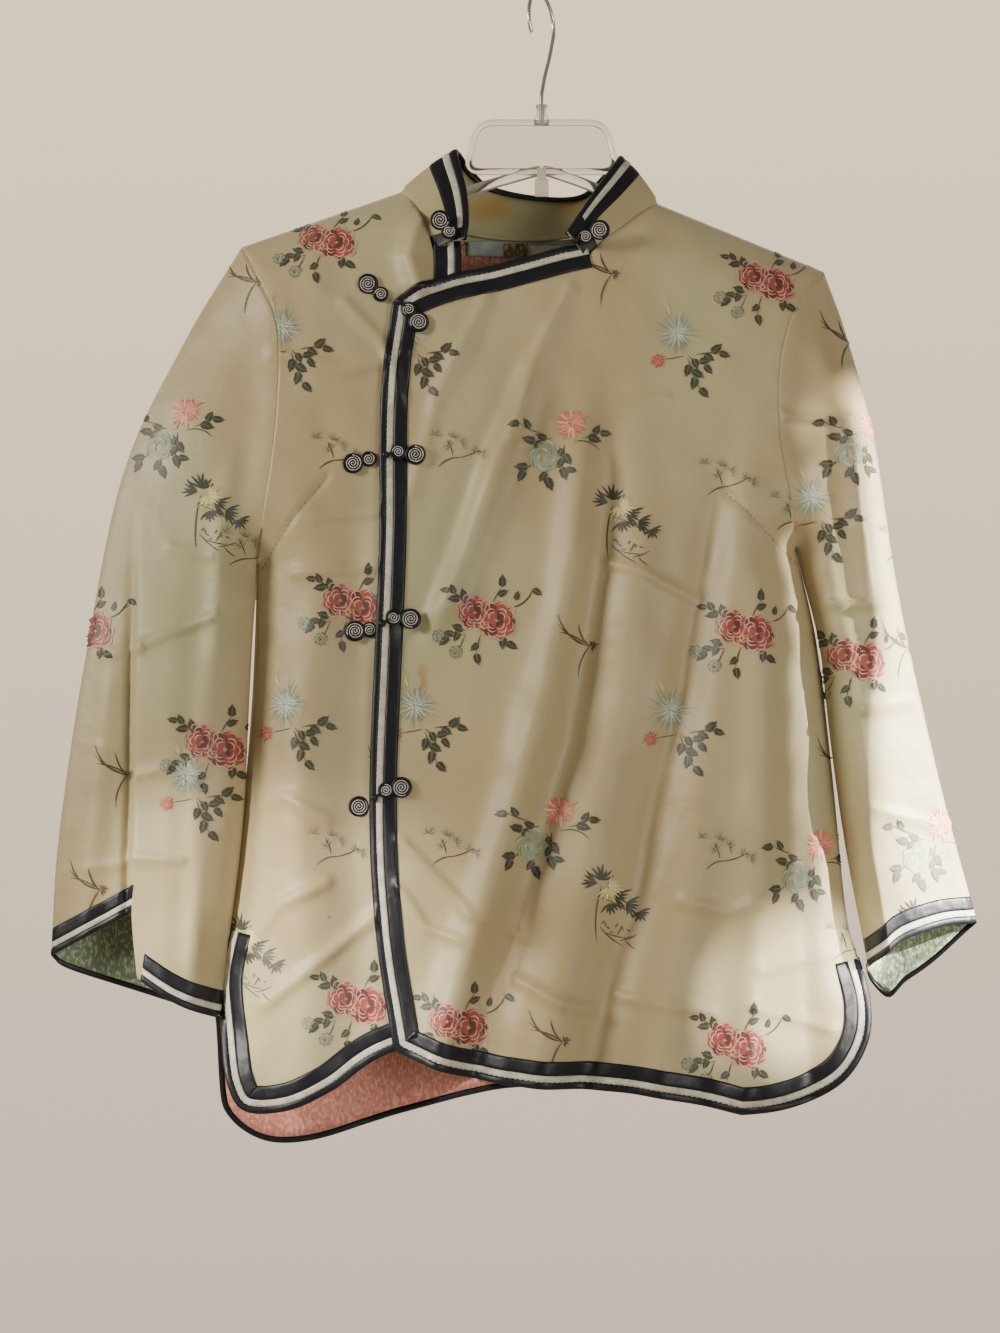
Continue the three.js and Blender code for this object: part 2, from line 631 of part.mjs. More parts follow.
// ---------- frogs ----------
// Each half frog: its big and small coil and, on the button side, the knot at the front edge.
const BIG_COIL = 6.2;
const SMALL_COIL = 4.6;
const COIL_THICKNESS = 3;
const KNOT = 2.6;
const FROG_GAP = 0.6;
const COLLAR_FROG_BACK = -41; // back plane of the collar frogs
const FROGS = [
  { name: "frog_1_loop_side", big: [-122, -219], small: [-114, -226], on: "under" },
  { name: "frog_1_knot_side", big: [-87, -248], small: [-93.5, -239], knot: [-99, -233], on: "over" },
  { name: "frog_2_loop_side", big: [-133, -347], small: [-123, -344], on: "under" },
  { name: "frog_2_knot_side", big: [-90, -342], small: [-100, -340], knot: [-106, -341], on: "over" },
  { name: "frog_3_loop_side", big: [-134, -465], small: [-124, -464], on: "under" },
  { name: "frog_3_knot_side", big: [-93, -457], small: [-103, -456], knot: [-109, -458], on: "over" },
  { name: "frog_4_loop_side", big: [-130, -587], small: null, on: "under" },
  { name: "frog_4_knot_side", big: [-99, -574], small: [-109, -576], knot: [-115, -579], on: "over" },
  { name: "collar_frog_loop_side", big: [-72, -176], small: [-66, -184], on: "collar" },
  { name: "collar_frog_knot_side", big: [40, -183], small: [31, -188], knot: [24, -190], on: "collar" },
];
const FROG_FACES = {
  under: underFace(CLOTH),
  over: overFace(CLOTH + GAP + TRIM),
  collar: () => COLLAR_FROG_BACK,
};

function disc([x, z], radius, backPlane) {
  const geometry = new THREE.CylinderGeometry(radius, radius, COIL_THICKNESS, 12);
  geometry.translate(x, backPlane - COIL_THICKNESS / 2, z);
  return geometryToManifold(geometry);
}

function bar([x0, z0], [x1, z1], backPlane) {
  const length = Math.hypot(x1 - x0, z1 - z0);
  const geometry = new THREE.BoxGeometry(length, COIL_THICKNESS, KNOT);
  geometry.rotateY(-Math.atan2(z1 - z0, x1 - x0));
  geometry.translate((x0 + x1) / 2, backPlane - COIL_THICKNESS / 2, (z0 + z1) / 2);
  return geometryToManifold(geometry);
}

for (const { name, big, small, knot, on } of FROGS) {
  const face = FROG_FACES[on];
  const rim = [big, small ?? big].flatMap(([x, z]) =>
    [-1, 0, 1].flatMap((i) => [-1, 0, 1].map((j) => face(x + i * BIG_COIL, z + j * BIG_COIL))));
  const backPlane = Math.min(...rim) - FROG_GAP;
  let frog = disc(big, BIG_COIL, backPlane);
  if (small) {
    frog = frog.add(disc(small, SMALL_COIL, backPlane)).add(bar(big, small, backPlane));
  }
  if (knot) {
    frog = frog.add(disc(knot, KNOT, backPlane)).add(bar(small, knot, backPlane));
  }
  addSolid(name, frog, "cord");
}

// ---------- hanger and hook ----------
const HANDLE = {
  topHalf: 46, bottomHalf: 55, top: -91, bottom: -127, chamfer: 6, rim: 5, rimDepth: 7, webDepth: 2.5,
};
const ARM_DEPTH = 6;
const ARM_HEIGHT = 8;
const ARM_LEFT = [[-10, -126], [-44, -140], [-98, -157], [-150, -174], [-196, -191]];
const ARM_RIGHT = [[10, -126], [44, -143], [82, -165], [130, -184], [184, -208]];
const SOCKET = { top: -81, bottom: -94, topRadius: 5, bottomRadius: 6 };
const TAB = { half: 5, top: -124, bottom: -149, depth: 1.6 };
const WIRE = 1.5; // radius of the hook wire
const HOOK_RADIUS = 19;
const HOOK_TURN = THREE.MathUtils.degToRad(63); // the hook's plane, turned from X towards Y
const HOOK_ARC = { start: -18, sweep: 236, segments: 12 }; // degrees round the hook's middle
const HOOK_STEM = [[0, 0, SOCKET.top + GAP], [0, 0, SOCKET.top + 8], [2.5, 4.5, -58], [6, 11.5, -42]];

function plate(corners, depth) {
  const shape = new THREE.Shape(corners.map(([x, z]) => new THREE.Vector2(x, z)));
  const geometry = new THREE.ExtrudeGeometry(shape, { depth, bevelEnabled: false });
  geometry.rotateX(Math.PI / 2);
  geometry.translate(0, depth / 2, 0);
  return geometryToManifold(geometry);
}

function trapezoid(inward) {
  const { topHalf, bottomHalf, top, bottom, chamfer } = HANDLE;
  return [
    [-topHalf + inward + chamfer, top - inward], [-topHalf + inward, top - inward - chamfer],
    [-bottomHalf + inward, bottom + inward + chamfer], [-bottomHalf + inward + chamfer, bottom + inward],
    [bottomHalf - inward - chamfer, bottom + inward], [bottomHalf - inward, bottom + inward + chamfer],
    [topHalf - inward, top - inward - chamfer], [topHalf - inward - chamfer, top - inward],
  ];
}

function tube(points, section, steps) {
  const path = new THREE.CatmullRomCurve3(points);
  const geometry = new THREE.ExtrudeGeometry(section, { steps, bevelEnabled: false, extrudePath: path });
  return geometryToManifold(geometry);
}

function oval(halfWidth, halfHeight, sides) {
  const points = Array.from({ length: sides }, (_, k) => {
    const angle = (2 * Math.PI * (k + 0.5)) / sides;
    return new THREE.Vector2(halfWidth * Math.cos(angle), halfHeight * Math.sin(angle));
  });
  return new THREE.Shape(points);
}

function hangerSolid() {
  const rim = plate(trapezoid(0), HANDLE.rimDepth)
    .subtract(plate(trapezoid(HANDLE.rim), 3 * HANDLE.rimDepth));
  const web = plate(trapezoid(HANDLE.rim / 2), HANDLE.webDepth);
  const { half, top: tabTop, bottom: tabBottom, depth } = TAB;
  const tab = plate([[-half, tabTop], [-half, tabBottom], [half, tabBottom], [half, tabTop]], depth);
  const { top, bottom, topRadius, bottomRadius } = SOCKET;
  const socket = new THREE.CylinderGeometry(topRadius, bottomRadius, top - bottom, 16);
  socket.rotateX(Math.PI / 2);
  socket.translate(0, 0, (top + bottom) / 2);
  const arms = [ARM_LEFT, ARM_RIGHT].map((route) =>
    tube(route.map(([x, z]) => new THREE.Vector3(x, 0, z)), oval(ARM_HEIGHT / 2, ARM_DEPTH / 2, 8), 12));
  return [web, tab, geometryToManifold(socket), ...arms].reduce((whole, piece) => whole.add(piece), rim);
}
addSolid("hanger", hangerSolid(), "plastic");

function hookSolid() {
  const plane = new THREE.Vector3(Math.cos(HOOK_TURN), Math.sin(HOOK_TURN), 0);
  const radius = HOOK_RADIUS + WIRE;
  const points = HOOK_STEM.map((place) => new THREE.Vector3(...place));
  for (let k = 0; k <= HOOK_ARC.segments; k += 1) {
    const angle = THREE.MathUtils.degToRad(HOOK_ARC.start + (HOOK_ARC.sweep * k) / HOOK_ARC.segments);
    const place = plane.clone().multiplyScalar(radius * Math.cos(angle));
    points.push(place.setZ(radius * Math.sin(angle) - HOOK_RADIUS));
  }
  return tube(points, oval(WIRE, WIRE, 6), 40);
}
addSolid("hook", hookSolid(), "steel");

export default jacket;
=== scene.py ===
# %% [markdown]
# # A tang jacket on a clear hanger
# The jacket is silk brocade with a stand collar and an offset front. It hangs open-cuffed on a
# moulded hanger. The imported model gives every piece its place. This lesson replaces each plain
# cloth solid with a fine sheet, sews the borders on, coils the cord frogs and weaves the flowers.

# %% Load the frame
import math
import bmesh
import bpy
import numpy as np
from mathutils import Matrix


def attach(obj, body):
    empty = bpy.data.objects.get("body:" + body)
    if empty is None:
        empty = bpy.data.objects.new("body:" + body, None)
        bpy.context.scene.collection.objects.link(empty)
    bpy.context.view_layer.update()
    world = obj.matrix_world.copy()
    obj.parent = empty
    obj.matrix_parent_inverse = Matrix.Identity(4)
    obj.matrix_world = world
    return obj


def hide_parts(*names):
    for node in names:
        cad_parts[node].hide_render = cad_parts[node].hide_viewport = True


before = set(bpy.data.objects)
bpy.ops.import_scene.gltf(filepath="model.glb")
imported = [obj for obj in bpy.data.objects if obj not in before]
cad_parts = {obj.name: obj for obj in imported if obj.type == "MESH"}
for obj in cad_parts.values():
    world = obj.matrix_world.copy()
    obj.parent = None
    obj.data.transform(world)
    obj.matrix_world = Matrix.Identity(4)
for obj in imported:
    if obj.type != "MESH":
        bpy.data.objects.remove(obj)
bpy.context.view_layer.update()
MM = 0.001

# %% [markdown]
# ## The cut of the jacket
# A pattern cutter works with outlines: armholes, side seams, sleeve edges and hems.
# Each is a short row of places in millimetres, x to the right and z up, joined by smooth curves.
# The same places shaped the solids, so each fine sheet lands where its solid was.

# %% Seams and folded edges
NECK_LEFT = (-97, -143)
NECK_RIGHT = (81, -152)
ARMHOLE_LEFT = [(-216, -185), (-200, -217), (-187, -250), (-187, -302), (-192, -352), (-203, -417)]
ARMHOLE_RIGHT = [(203, -203), (187, -223), (174, -248), (167, -283), (168, -330), (181, -405)]
SIDE_LEFT = [(-203, -417), (-206, -510), (-212, -588), (-222, -673), (-238, -740), (-244, -850)]
SIDE_RIGHT = [(181, -405), (195, -470), (205, -560), (214, -660), (222, -693), (240, -750), (244, -850)]
OUTER_LEFT = [(-216, -185), (-256, -253), (-299, -348), (-325, -483), (-342, -610), (-346, -691)]
INNER_LEFT = [(-203, -417), (-210, -510), (-217, -600), (-226, -680), (-231, -734)]
OUTER_RIGHT = [(203, -203), (219, -250), (238, -325), (254, -437), (281, -568), (306, -668)]
INNER_RIGHT = [(181, -405), (199, -470), (210, -540), (220, -616), (235, -698)]
RIDGE_LEFT = [(-205, -250), (-211, -328), (-223, -369), (-227, -436), (-231, -481), (-239, -570),
              (-241, -615), (-240, -740)]
RIDGE_RIGHT = [(194, -237), (207, -260), (215, -290), (220, -339), (222, -378), (227, -408),
               (233, -460), (229, -512), (225, -596), (232, -720)]
SLIT_TOP = -695
ROUNDING = 50


def distances_along(line):
    """Distance of every point of a line from its start."""
    return np.r_[0, np.cumsum(np.linalg.norm(np.diff(line, axis=0), axis=1))]


def at_distances(line, wanted):
    """Points of a line at the wanted distances from its start."""
    along = distances_along(line)
    return np.column_stack([np.interp(wanted, along, axis) for axis in line.T])


def even(line, count):
    """The same line with another number of equally spaced points."""
    return at_distances(line, np.linspace(0, distances_along(line)[-1], count))


def with_ends(places):
    """The places with one more at each end, as far beyond it as its neighbour lies inside."""
    return np.vstack([2 * places[0] - places[1], places, 2 * places[-1] - places[-2]])


def cubic(a, b, c, d, t):
    """The stretch from b to c of a smooth curve through four places: the cubic whose slope at a
    place is half the step from the place before to the place after."""
    return 0.5 * (2 * b + (c - a) * t + (2 * a - 5 * b + 4 * c - d) * t**2 + (3 * b - a - 3 * c + d) * t**3)


def smooth(places, count):
    """Equally spaced points on a smooth curve through the places."""
    p = np.asarray(places, float)
    ends = with_ends(p)
    t = np.linspace(0, 1, 24, endpoint=False)[:, None]
    parts = [cubic(a, b, c, d, t) for a, b, c, d in zip(ends[:-3], ends[1:-2], ends[2:-1], ends[3:])]
    return even(np.vstack(parts + [p[-1:]]), count)


def straight(start, end, count):
    """Equally spaced points on a straight line."""
    return np.linspace(start, end, count)


shoulders = np.vstack([straight(ARMHOLE_LEFT[0], NECK_LEFT, 50)[:-1],
                       straight(NECK_LEFT, NECK_RIGHT, 60),
                       straight(NECK_RIGHT, ARMHOLE_RIGHT[0], 50)[1:]])
side_left = smooth(SIDE_LEFT, 150)
side_right = smooth(SIDE_RIGHT, 150)
CLOSED_LINES = [shoulders[::6]]
CLOSED_LINES += [side[side[:, 1] > SLIT_TOP][::8] for side in (side_left, side_right)]
CLOSED_LINES += [smooth(line, 24) for line in (OUTER_LEFT, OUTER_RIGHT)]
CLOSED_LINES += [smooth(line, 18) for line in (INNER_LEFT, INNER_RIGHT)]
print("shoulder points:", len(shoulders))

# %% [markdown]
# ## How hanging cloth stands out
# Two layers of cloth that are sewn together along an edge lie flat there and open away from it.
# A parabola over the nearest 50 mm describes that. Folds, creases and soft waves add to it.
# One height function for the whole front keeps neighbouring pieces flush at every seam.

# %% Folds and creases by name
FOLDS = [  # line from top to bottom, rise towards the front, half width
    dict(line=[(5, -253), (-30, -337), (-72, -456)], rise=8, width=11),
    dict(line=[(-8, -262), (-48, -357), (-66, -415), (-92, -470)], rise=-4, width=10),
    dict(line=[(36, -270), (17, -441), (-15, -569), (-57, -700), (-80, -790)], rise=10, width=14),
    dict(line=[(52, -270), (40, -408), (17, -540), (-14, -656), (-50, -790)], rise=-7, width=12),
    dict(line=[(72, -280), (70, -408), (52, -540), (24, -656), (-5, -790)], rise=6, width=14),
    dict(line=[(141, -270), (117, -406), (96, -513), (61, -665), (25, -790)], rise=-8, width=13),
    dict(line=[(152, -280), (134, -420), (120, -540), (98, -680), (76, -800)], rise=5, width=14),
    dict(line=[(169, -344), (154, -425), (150, -540), (147, -691), (137, -800)], rise=9.5, width=15),
    dict(line=[(187, -410), (178, -520), (178, -640), (184, -790)], rise=-6, width=13),
    dict(line=[(-72, -150), (-88, -176), (-94, -200), (-86, -226)], rise=5.5, width=8),
    dict(line=[(-150, -420), (-168, -520), (-170, -640), (-160, -790)], rise=5, width=20),
    dict(line=[(-128, -300), (-132, -420), (-128, -600), (-132, -760)], rise=-3, width=13),
]
SLEEVE_FOLDS = [
    dict(line=[(194, -237), (220, -339), (228, -408), (233, -480), (229, -520), (225, -600)],
         rise=6, width=10),
    dict(line=[(-211, -300), (-223, -369), (-227, -436), (-231, -481), (-239, -570), (-241, -700)],
         rise=4, width=9),
    dict(line=[(-303, -430), (-309, -520), (-316, -600), (-326, -700)], rise=8, width=11),
]
BACK_FOLDS = [
    dict(line=[(-90, -330), (-110, -560), (-120, -820)], rise=5, width=26),
    dict(line=[(-10, -260), (-5, -540), (5, -800)], rise=-5, width=24),
    dict(line=[(95, -330), (105, -560), (115, -800)], rise=5, width=26),
    dict(line=[(-150, -300), (-160, -420), (-170, -560)], rise=-3, width=14),
    dict(line=[(150, -300), (150, -420), (160, -560)], rise=-3, width=14),
]
CREASES = [  # a pressed line, its rise and its half width
    dict(line=[(46, -417), (68, -424), (106, -442)], rise=2.4, width=3.5),
    dict(line=[(52, -300), (62, -303), (88, -300)], rise=1.6, width=3),
    dict(line=[(-99, -610), (-76, -634), (-52, -659)], rise=2.6, width=3.6),
    dict(line=[(-100, -642), (-81, -671), (-60, -678)], rise=2.6, width=3.6),
    dict(line=[(-52, -662), (-36, -667), (-14, -677)], rise=2.0, width=3.6),
    dict(line=[(-19, -706), (11, -722), (34, -727)], rise=2.6, width=4),
    dict(line=[(53, -718), (116, -729)], rise=2.2, width=4),
    dict(line=[(96, -652), (128, -660), (150, -652)], rise=2.0, width=4),
    dict(line=[(145, -725), (200, -741)], rise=2.6, width=4),
    dict(line=[(150, -700), (196, -690)], rise=2.2, width=4.5),
    dict(line=[(-325, -483), (-282, -476)], rise=2.6, width=3.2),
    dict(line=[(-282, -474), (-228, -454)], rise=2.6, width=3.2),
    dict(line=[(-346, -635), (-292, -626)], rise=2.0, width=3.4),
    dict(line=[(-288, -622), (-250, -624)], rise=2.2, width=3.4),
    dict(line=[(-286, -566), (-261, -561), (-240, -572)], rise=2.0, width=3.4),
    dict(line=[(-330, -540), (-300, -548)], rise=1.8, width=4),
    dict(line=[(-262, -405), (-232, -412)], rise=1.6, width=3.4),
    dict(line=[(170, -313), (219, -313)], rise=2.4, width=3.4),
    dict(line=[(181, -443), (232, -447), (272, -440)], rise=2.4, width=3.4),
    dict(line=[(226, -520), (262, -512)], rise=2.0, width=4),
    dict(line=[(232, -590), (280, -600)], rise=2.2, width=4),
    dict(line=[(-115, -381), (-160, -386)], rise=1.6, width=4),
    dict(line=[(-117, -420), (-175, -424)], rise=1.6, width=4),
    dict(line=[(-206, -686), (-183, -655), (-150, -640)], rise=2.4, width=4.5),
    dict(line=[(-193, -724), (-150, -690), (-117, -663)], rise=2.6, width=5),
    dict(line=[(-215, -590), (-180, -580), (-150, -596)], rise=1.8, width=5),
    dict(line=[(-151, -356), (-175, -385), (-200, -420)], rise=-1.6, width=2.4),
    dict(line=[(128, -366), (155, -393), (183, -417)], rise=-1.6, width=2.4),
    dict(line=[(-140, -232), (-112, -262), (-100, -300)], rise=2.0, width=5),
    dict(line=[(-40, -230), (-74, -300), (-92, -370)], rise=2.2, width=6),
    dict(line=[(20, -222), (-10, -280), (-20, -330)], rise=2.0, width=5),
    dict(line=[(-190, -268), (-140, -282), (-96, -268)], rise=1.8, width=6),
]
print("folds:", len(FOLDS) + len(BACK_FOLDS), "creases:", len(CREASES))

# %% Height of the cloth
FOLD_DEPTH = 1.25  # every fold's rise is taken this many times
CREASE_DEPTH = 1.4
CREASE_WIDTH = 0.9
WALL = 2.15  # from the inner face of the cloth to its outer face
FRONT_BULGE, SIDE_BULGE, BACK_BULGE = 28, 22, 22


def nearest(path, x, z):
    """Distance from every place to a line of short segments: each place is dropped onto every
    segment, and the shortest drop counts. Also gives the nearest point itself."""
    p = np.asarray(path, float)
    best = np.full(np.shape(x), np.inf)
    foot_x = np.zeros(np.shape(x))
    foot_z = np.zeros(np.shape(x))
    for (ax, az), (bx, bz) in zip(p[:-1], p[1:]):
        dx, dz = bx - ax, bz - az
        t = np.clip(((x - ax) * dx + (z - az) * dz) / max(dx * dx + dz * dz, 1e-9), 0, 1)
        px, pz = ax + t * dx, az + t * dz
        d = np.hypot(x - px, z - pz)
        closer = d < best
        best = np.where(closer, d, best)
        foot_x = np.where(closer, px, foot_x)
        foot_z = np.where(closer, pz, foot_z)
    return best, foot_x, foot_z


def ease(low, high, value):
    """Smooth step from 0 to 1 between two values."""
    t = np.clip((value - low) / (high - low), 0, 1)
    return t * t * (3 - 2 * t)


def fullness(x, z):
    """0 on a closed line, rising along a parabola to 1 at the rounding distance from it."""
    d = np.full(np.shape(x), float(ROUNDING))
    for path in CLOSED_LINES:
        d = np.minimum(d, nearest(path, x, z)[0])
    return 1 - (1 - d / ROUNDING) ** 2


def folds_at(rows, x, z):
    """Sum of bell-shaped ridges beside each fold line, fading in from the top of the line."""
    rise = np.zeros(np.shape(x))
    for row in rows:
        px, pz = np.array(row["line"], float).T
        line_x = np.interp(-z, -pz, px)
        down = (pz[0] - z) / (pz[0] - pz[-1])
        fade = ease(0, 0.3, down) * (1 - ease(0.96, 1.06, down))
        rise = rise + FOLD_DEPTH * row["rise"] * fade * np.exp(-((x - line_x) / row["width"]) ** 2)
    return rise


def creases_at(x, z):
    """Narrow bell-shaped ridges along the pressed lines."""
    rise = np.zeros(np.shape(x))
    for row in CREASES:
        d = nearest(row["line"], x, z)[0]
        rise = rise + CREASE_DEPTH * row["rise"] * np.exp(-(d / (CREASE_WIDTH * row["width"])) ** 2)
    return rise


def waves(x, z, size, seed):
    """Soft uneven waves: a sum of eight plane sine waves with fixed directions and phases."""
    rng = np.random.default_rng(seed)
    angles, phases, stretches = (rng.uniform(*span, 8) for span in ((0, np.pi), (0, 6.28), (0.6, 1.6)))
    total = np.zeros(np.shape(x))
    for angle, phase, stretch in zip(angles, phases, stretches):
        across = x * np.cos(angle) + z * np.sin(angle)
        total = total + np.sin(across * 2 * np.pi / (size * stretch) + phase)
    return total / 8


def front_waves(x, z):
    """Soft waves of the front and of the sleeves' fronts."""
    return 4.0 * waves(x, z, 110, 3) + 1.5 * waves(x, z, 42, 4)


def back_waves(x, z):
    """Smaller waves of the back and of the sleeves' backs."""
    return 1.6 * waves(x, z, 90, 5) + 0.6 * waves(x, z, 32, 6)


def front_y(x, z):
    """Inner face of the front: minus fullness times bulge, with folds, creases and waves."""
    bulge = FRONT_BULGE + (SIDE_BULGE - FRONT_BULGE) * ease(150, 235, np.abs(x + 10))
    return -fullness(x, z) * (bulge + folds_at(FOLDS, x, z) + creases_at(x, z) + front_waves(x, z))


def back_y(x, z):
    """Inner face of the back: fullness times bulge, with its own folds and waves."""
    return fullness(x, z) * (BACK_BULGE + folds_at(BACK_FOLDS, x, z) + back_waves(x, z))


def sleeve_fullness(x, z, sleeve):
    """Fullness of a sleeve: a short parabola at the inner fold, and a nearly flat plane from the
    pressed ridge down to the outer fold. The cap above keeps the common parabola."""
    inner = nearest(sleeve["inner_line"], x, z)[0]
    near_inner = 1 - (1 - np.minimum(inner / sleeve["rounding"], 1)) ** 2
    ridge_x = np.interp(-z, -sleeve["ridge_line"][:, 1], sleeve["ridge_line"][:, 0])
    outer_x = np.interp(-z, -sleeve["outer_line"][:, 1], sleeve["outer_line"][:, 0])
    t = np.clip((x - ridge_x) / (outer_x - ridge_x), 0, 1)
    plane = np.minimum(near_inner, 1 - t ** sleeve["power"])
    low = ease(-250, -330, z)
    return (1 - low) * fullness(x, z) + low * plane


def tuck(x, z, sleeve):
    """The inner fold of a hanging sleeve comes a little ahead of the body's side."""
    inner = nearest(sleeve["inner_line"], x, z)[0]
    return 7 * np.clip(1 - inner / 30, 0, 1) ** 2 * ease(-420, -480, z)


def left_step(x, z):
    """The left sleeve folds over itself: a step that grows towards the cuff, a groove at its foot."""
    step = 10 * ease(-288.5, -283.5, x) * (x < -200) * (1 - ease(-262, -232, x) * 0.6)
    groove = 5 * np.exp(-((x + 290.5) / 2.6) ** 2)
    return (step - groove) * ease(-360, -500, z)


def sleeve_face(x, z, sleeve, front):
    """Outer face of a sleeve, front or back, which meets the body's face at the armhole."""
    full = sleeve_fullness(x, z, sleeve)
    if front:
        folded = left_step(x, z) + folds_at(SLEEVE_FOLDS, x, z) + creases_at(x, z)
        y = -full * (SIDE_BULGE + folded + front_waves(x, z)) - WALL * ease(0, 0.1, full)
    else:
        y = full * (BACK_BULGE + back_waves(x, z)) + WALL * ease(0, 0.1, full)
    join = 1 - ease(0, 25, nearest(sleeve["armhole"], x, z)[0])
    body = (sleeve["body"] if front else back_face)(x, z)
    return y + join * (body - y) - tuck(x, z, sleeve)


def over_lift(x):
    """The over front lies ahead of the under front where they overlap."""
    return 3.6 * (1 - ease(-30, 90, x))


def seam_rise(x, z):
    """0 on a closed line, so that the sheets meet there, and 1 a few millimetres beside it."""
    return ease(0, 0.12, fullness(x, z))


def over_face(x, z):
    """Outer face of the over front."""
    return front_y(x, z) - (over_lift(x) + WALL) * seam_rise(x, z)


def under_face(x, z):
    """Outer face of the under front."""
    return front_y(x, z) - WALL * seam_rise(x, z)


def back_face(x, z):
    """Outer face of the back."""
    return back_y(x, z) + WALL * seam_rise(x, z)


CHEST = (np.zeros(1), np.full(1, -450.0))
print("front stands out by", round(float(-front_y(*CHEST)[0]), 1), "mm at the chest")

# %% [markdown]
# ## Turning places into meshes
# A sheet starts as a grid between four edge curves. Cells outside the outline are dropped, and
# the points left on the cut are drawn onto the outline, so every edge is clean.
# A Solidify modifier then gives the sheet a real wall.

# %% Mesh helpers


def new_object(name, points, faces, material=None, smooth_shading=True):
    """One mesh object at the origin from an array of points in millimetres and its faces."""
    mesh = bpy.data.meshes.new(name)
    faces = faces if isinstance(faces, list) else faces.tolist()
    mesh.from_pydata((np.asarray(points, float) * MM).tolist(), [], faces)
    mesh.update()
    mesh.polygons.foreach_set("use_smooth", np.full(len(mesh.polygons), smooth_shading))
    obj = bpy.data.objects.new(name, mesh)
    bpy.context.scene.collection.objects.link(obj)
    if material:
        mesh.materials.append(material)
    return obj


def grid_faces(rows, columns, wrap=False):
    """Quads of a grid of points stored row by row, closed round its columns where asked."""
    index = np.arange(rows * columns).reshape(rows, columns)
    if wrap:
        index = np.hstack([index, index[:, :1]])
    return np.stack([index[:-1, :-1], index[1:, :-1], index[1:, 1:], index[:-1, 1:]], -1).reshape(-1, 4)


def capped(rows, sides):
    """Faces of a tube stored ring by ring, closed by a flat face at each end."""
    last = (rows - 1) * sides
    ends = [list(range(sides)), [last + k for k in range(sides)]]
    return grid_faces(rows, sides, wrap=True).tolist() + ends


def closed_mesh(name, points, faces, material, smooth_shading=True):
    """A closed body whose faces are turned outwards."""
    obj = new_object(name, points, faces, material)
    body = bmesh.new()
    body.from_mesh(obj.data)
    bmesh.ops.recalc_face_normals(body, faces=body.faces)
    body.to_mesh(obj.data)
    body.free()
    obj.data.polygons.foreach_set("use_smooth", np.full(len(obj.data.polygons), smooth_shading))
    return obj


def in_plane(line, y=0.0):
    """Places of a flat line as points in space at one depth."""
    return np.column_stack([line[:, 0], np.full(len(line), y), line[:, 1]])


def wall(obj, thickness):
    """Solidify: the wall grows inwards from the faces."""
    modifier = obj.modifiers.new("wall", "SOLIDIFY")
    modifier.thickness = thickness * MM
    modifier.offset = -1
    return obj


def between(top, bottom, left, right):
    """Grid between four edge curves: the two blends of opposite edges, less the blend of the
    four corners."""
    u = np.linspace(0, 1, len(top))[None, :, None]
    v = np.linspace(0, 1, len(left))[:, None, None]
    corners = ((1 - u) * (1 - v) * top[0] + u * (1 - v) * top[-1]
               + (1 - u) * v * bottom[0] + u * v * bottom[-1])
    across = (1 - v) * top[None] + v * bottom[None]
    return across + (1 - u) * left[:, None] + u * right[:, None] - corners


def inside(outline, x, z):
    """A place is inside if a ray from it crosses the outline an odd number of times."""
    p = np.asarray(outline, float)
    result = np.zeros(np.shape(x), bool)
    for (ax, az), (bx, bz) in zip(p, np.roll(p, -1, axis=0)):
        if az != bz:
            crosses = ((az > z) != (bz > z)) & (x < (bx - ax) * (z - az) / (bz - az) + ax)
            result ^= crosses
    return result


def cut_sheet(grid, outline):
    """Keeps the cells whose middle is inside the outline and draws the points on the cut onto it."""
    rows, columns = grid.shape[:2]
    middle = (grid[:-1, :-1] + grid[1:, :-1] + grid[1:, 1:] + grid[:-1, 1:]) / 4
    keep = inside(outline, middle[..., 0], middle[..., 1])
    around = np.zeros((rows, columns))
    total = np.zeros((rows, columns))
    for dj in (0, 1):
        for di in (0, 1):
            around[dj:rows - 1 + dj, di:columns - 1 + di] += keep
            total[dj:rows - 1 + dj, di:columns - 1 + di] += 1
    on_cut = (around > 0) & (around < total)
    closed = np.vstack([outline, outline[:1]])
    x, z = grid[..., 0].copy(), grid[..., 1].copy()
    x[on_cut], z[on_cut] = nearest(closed, x[on_cut], z[on_cut])[1:]
    quads = grid_faces(rows, columns)[keep.ravel()]
    used, quads = np.unique(quads, return_inverse=True)
    return x.ravel()[used], z.ravel()[used], quads.reshape(-1, 4)


def sheet_area(x, y, z, quads):
    """Area of a sheet in square metres: half the length of the cross product of each quad's
    diagonals."""
    p = np.column_stack([x, y, z]) * MM
    a = p[quads[:, 2]] - p[quads[:, 0]]
    b = p[quads[:, 3]] - p[quads[:, 1]]
    return float(np.linalg.norm(np.cross(a, b), axis=1).sum() / 2)


def facing_front(quads, x, z, front=True):
    """Turns the quads so that their faces look to the front, or to the back."""
    a, b, c = (np.column_stack([x, z])[quads[:, k]] for k in range(3))
    turn = np.sign(((b - a)[:, 0] * (c - a)[:, 1] - (b - a)[:, 1] * (c - a)[:, 0]).sum())
    return quads if (turn > 0) == front else quads[:, ::-1]


print("mesh helpers ready")

# %% [markdown]
# ## Silk, satin and lining
# Champagne silk changes from tan to celadon across a jacket, takes age stains and a painted shade,
# and shines along its folds. The weave is far finer than a fold, so it is a bump in the material.
# All patterns read object coordinates, which match the cloth because every object is at the origin.

# %% Material helpers


def new_material(name, color, roughness, **sockets):
    """A Principled material with plain values on its own sockets."""
    material = bpy.data.materials.new(name)
    material.use_nodes = True
    shader = material.node_tree.nodes["Principled BSDF"]
    shader.inputs["Base Color"].default_value = (*color, 1)
    shader.inputs["Roughness"].default_value = roughness
    for socket, value in sockets.items():
        shader.inputs[socket.replace("_", " ")].default_value = value
    return material, material.node_tree.nodes, material.node_tree.links, shader


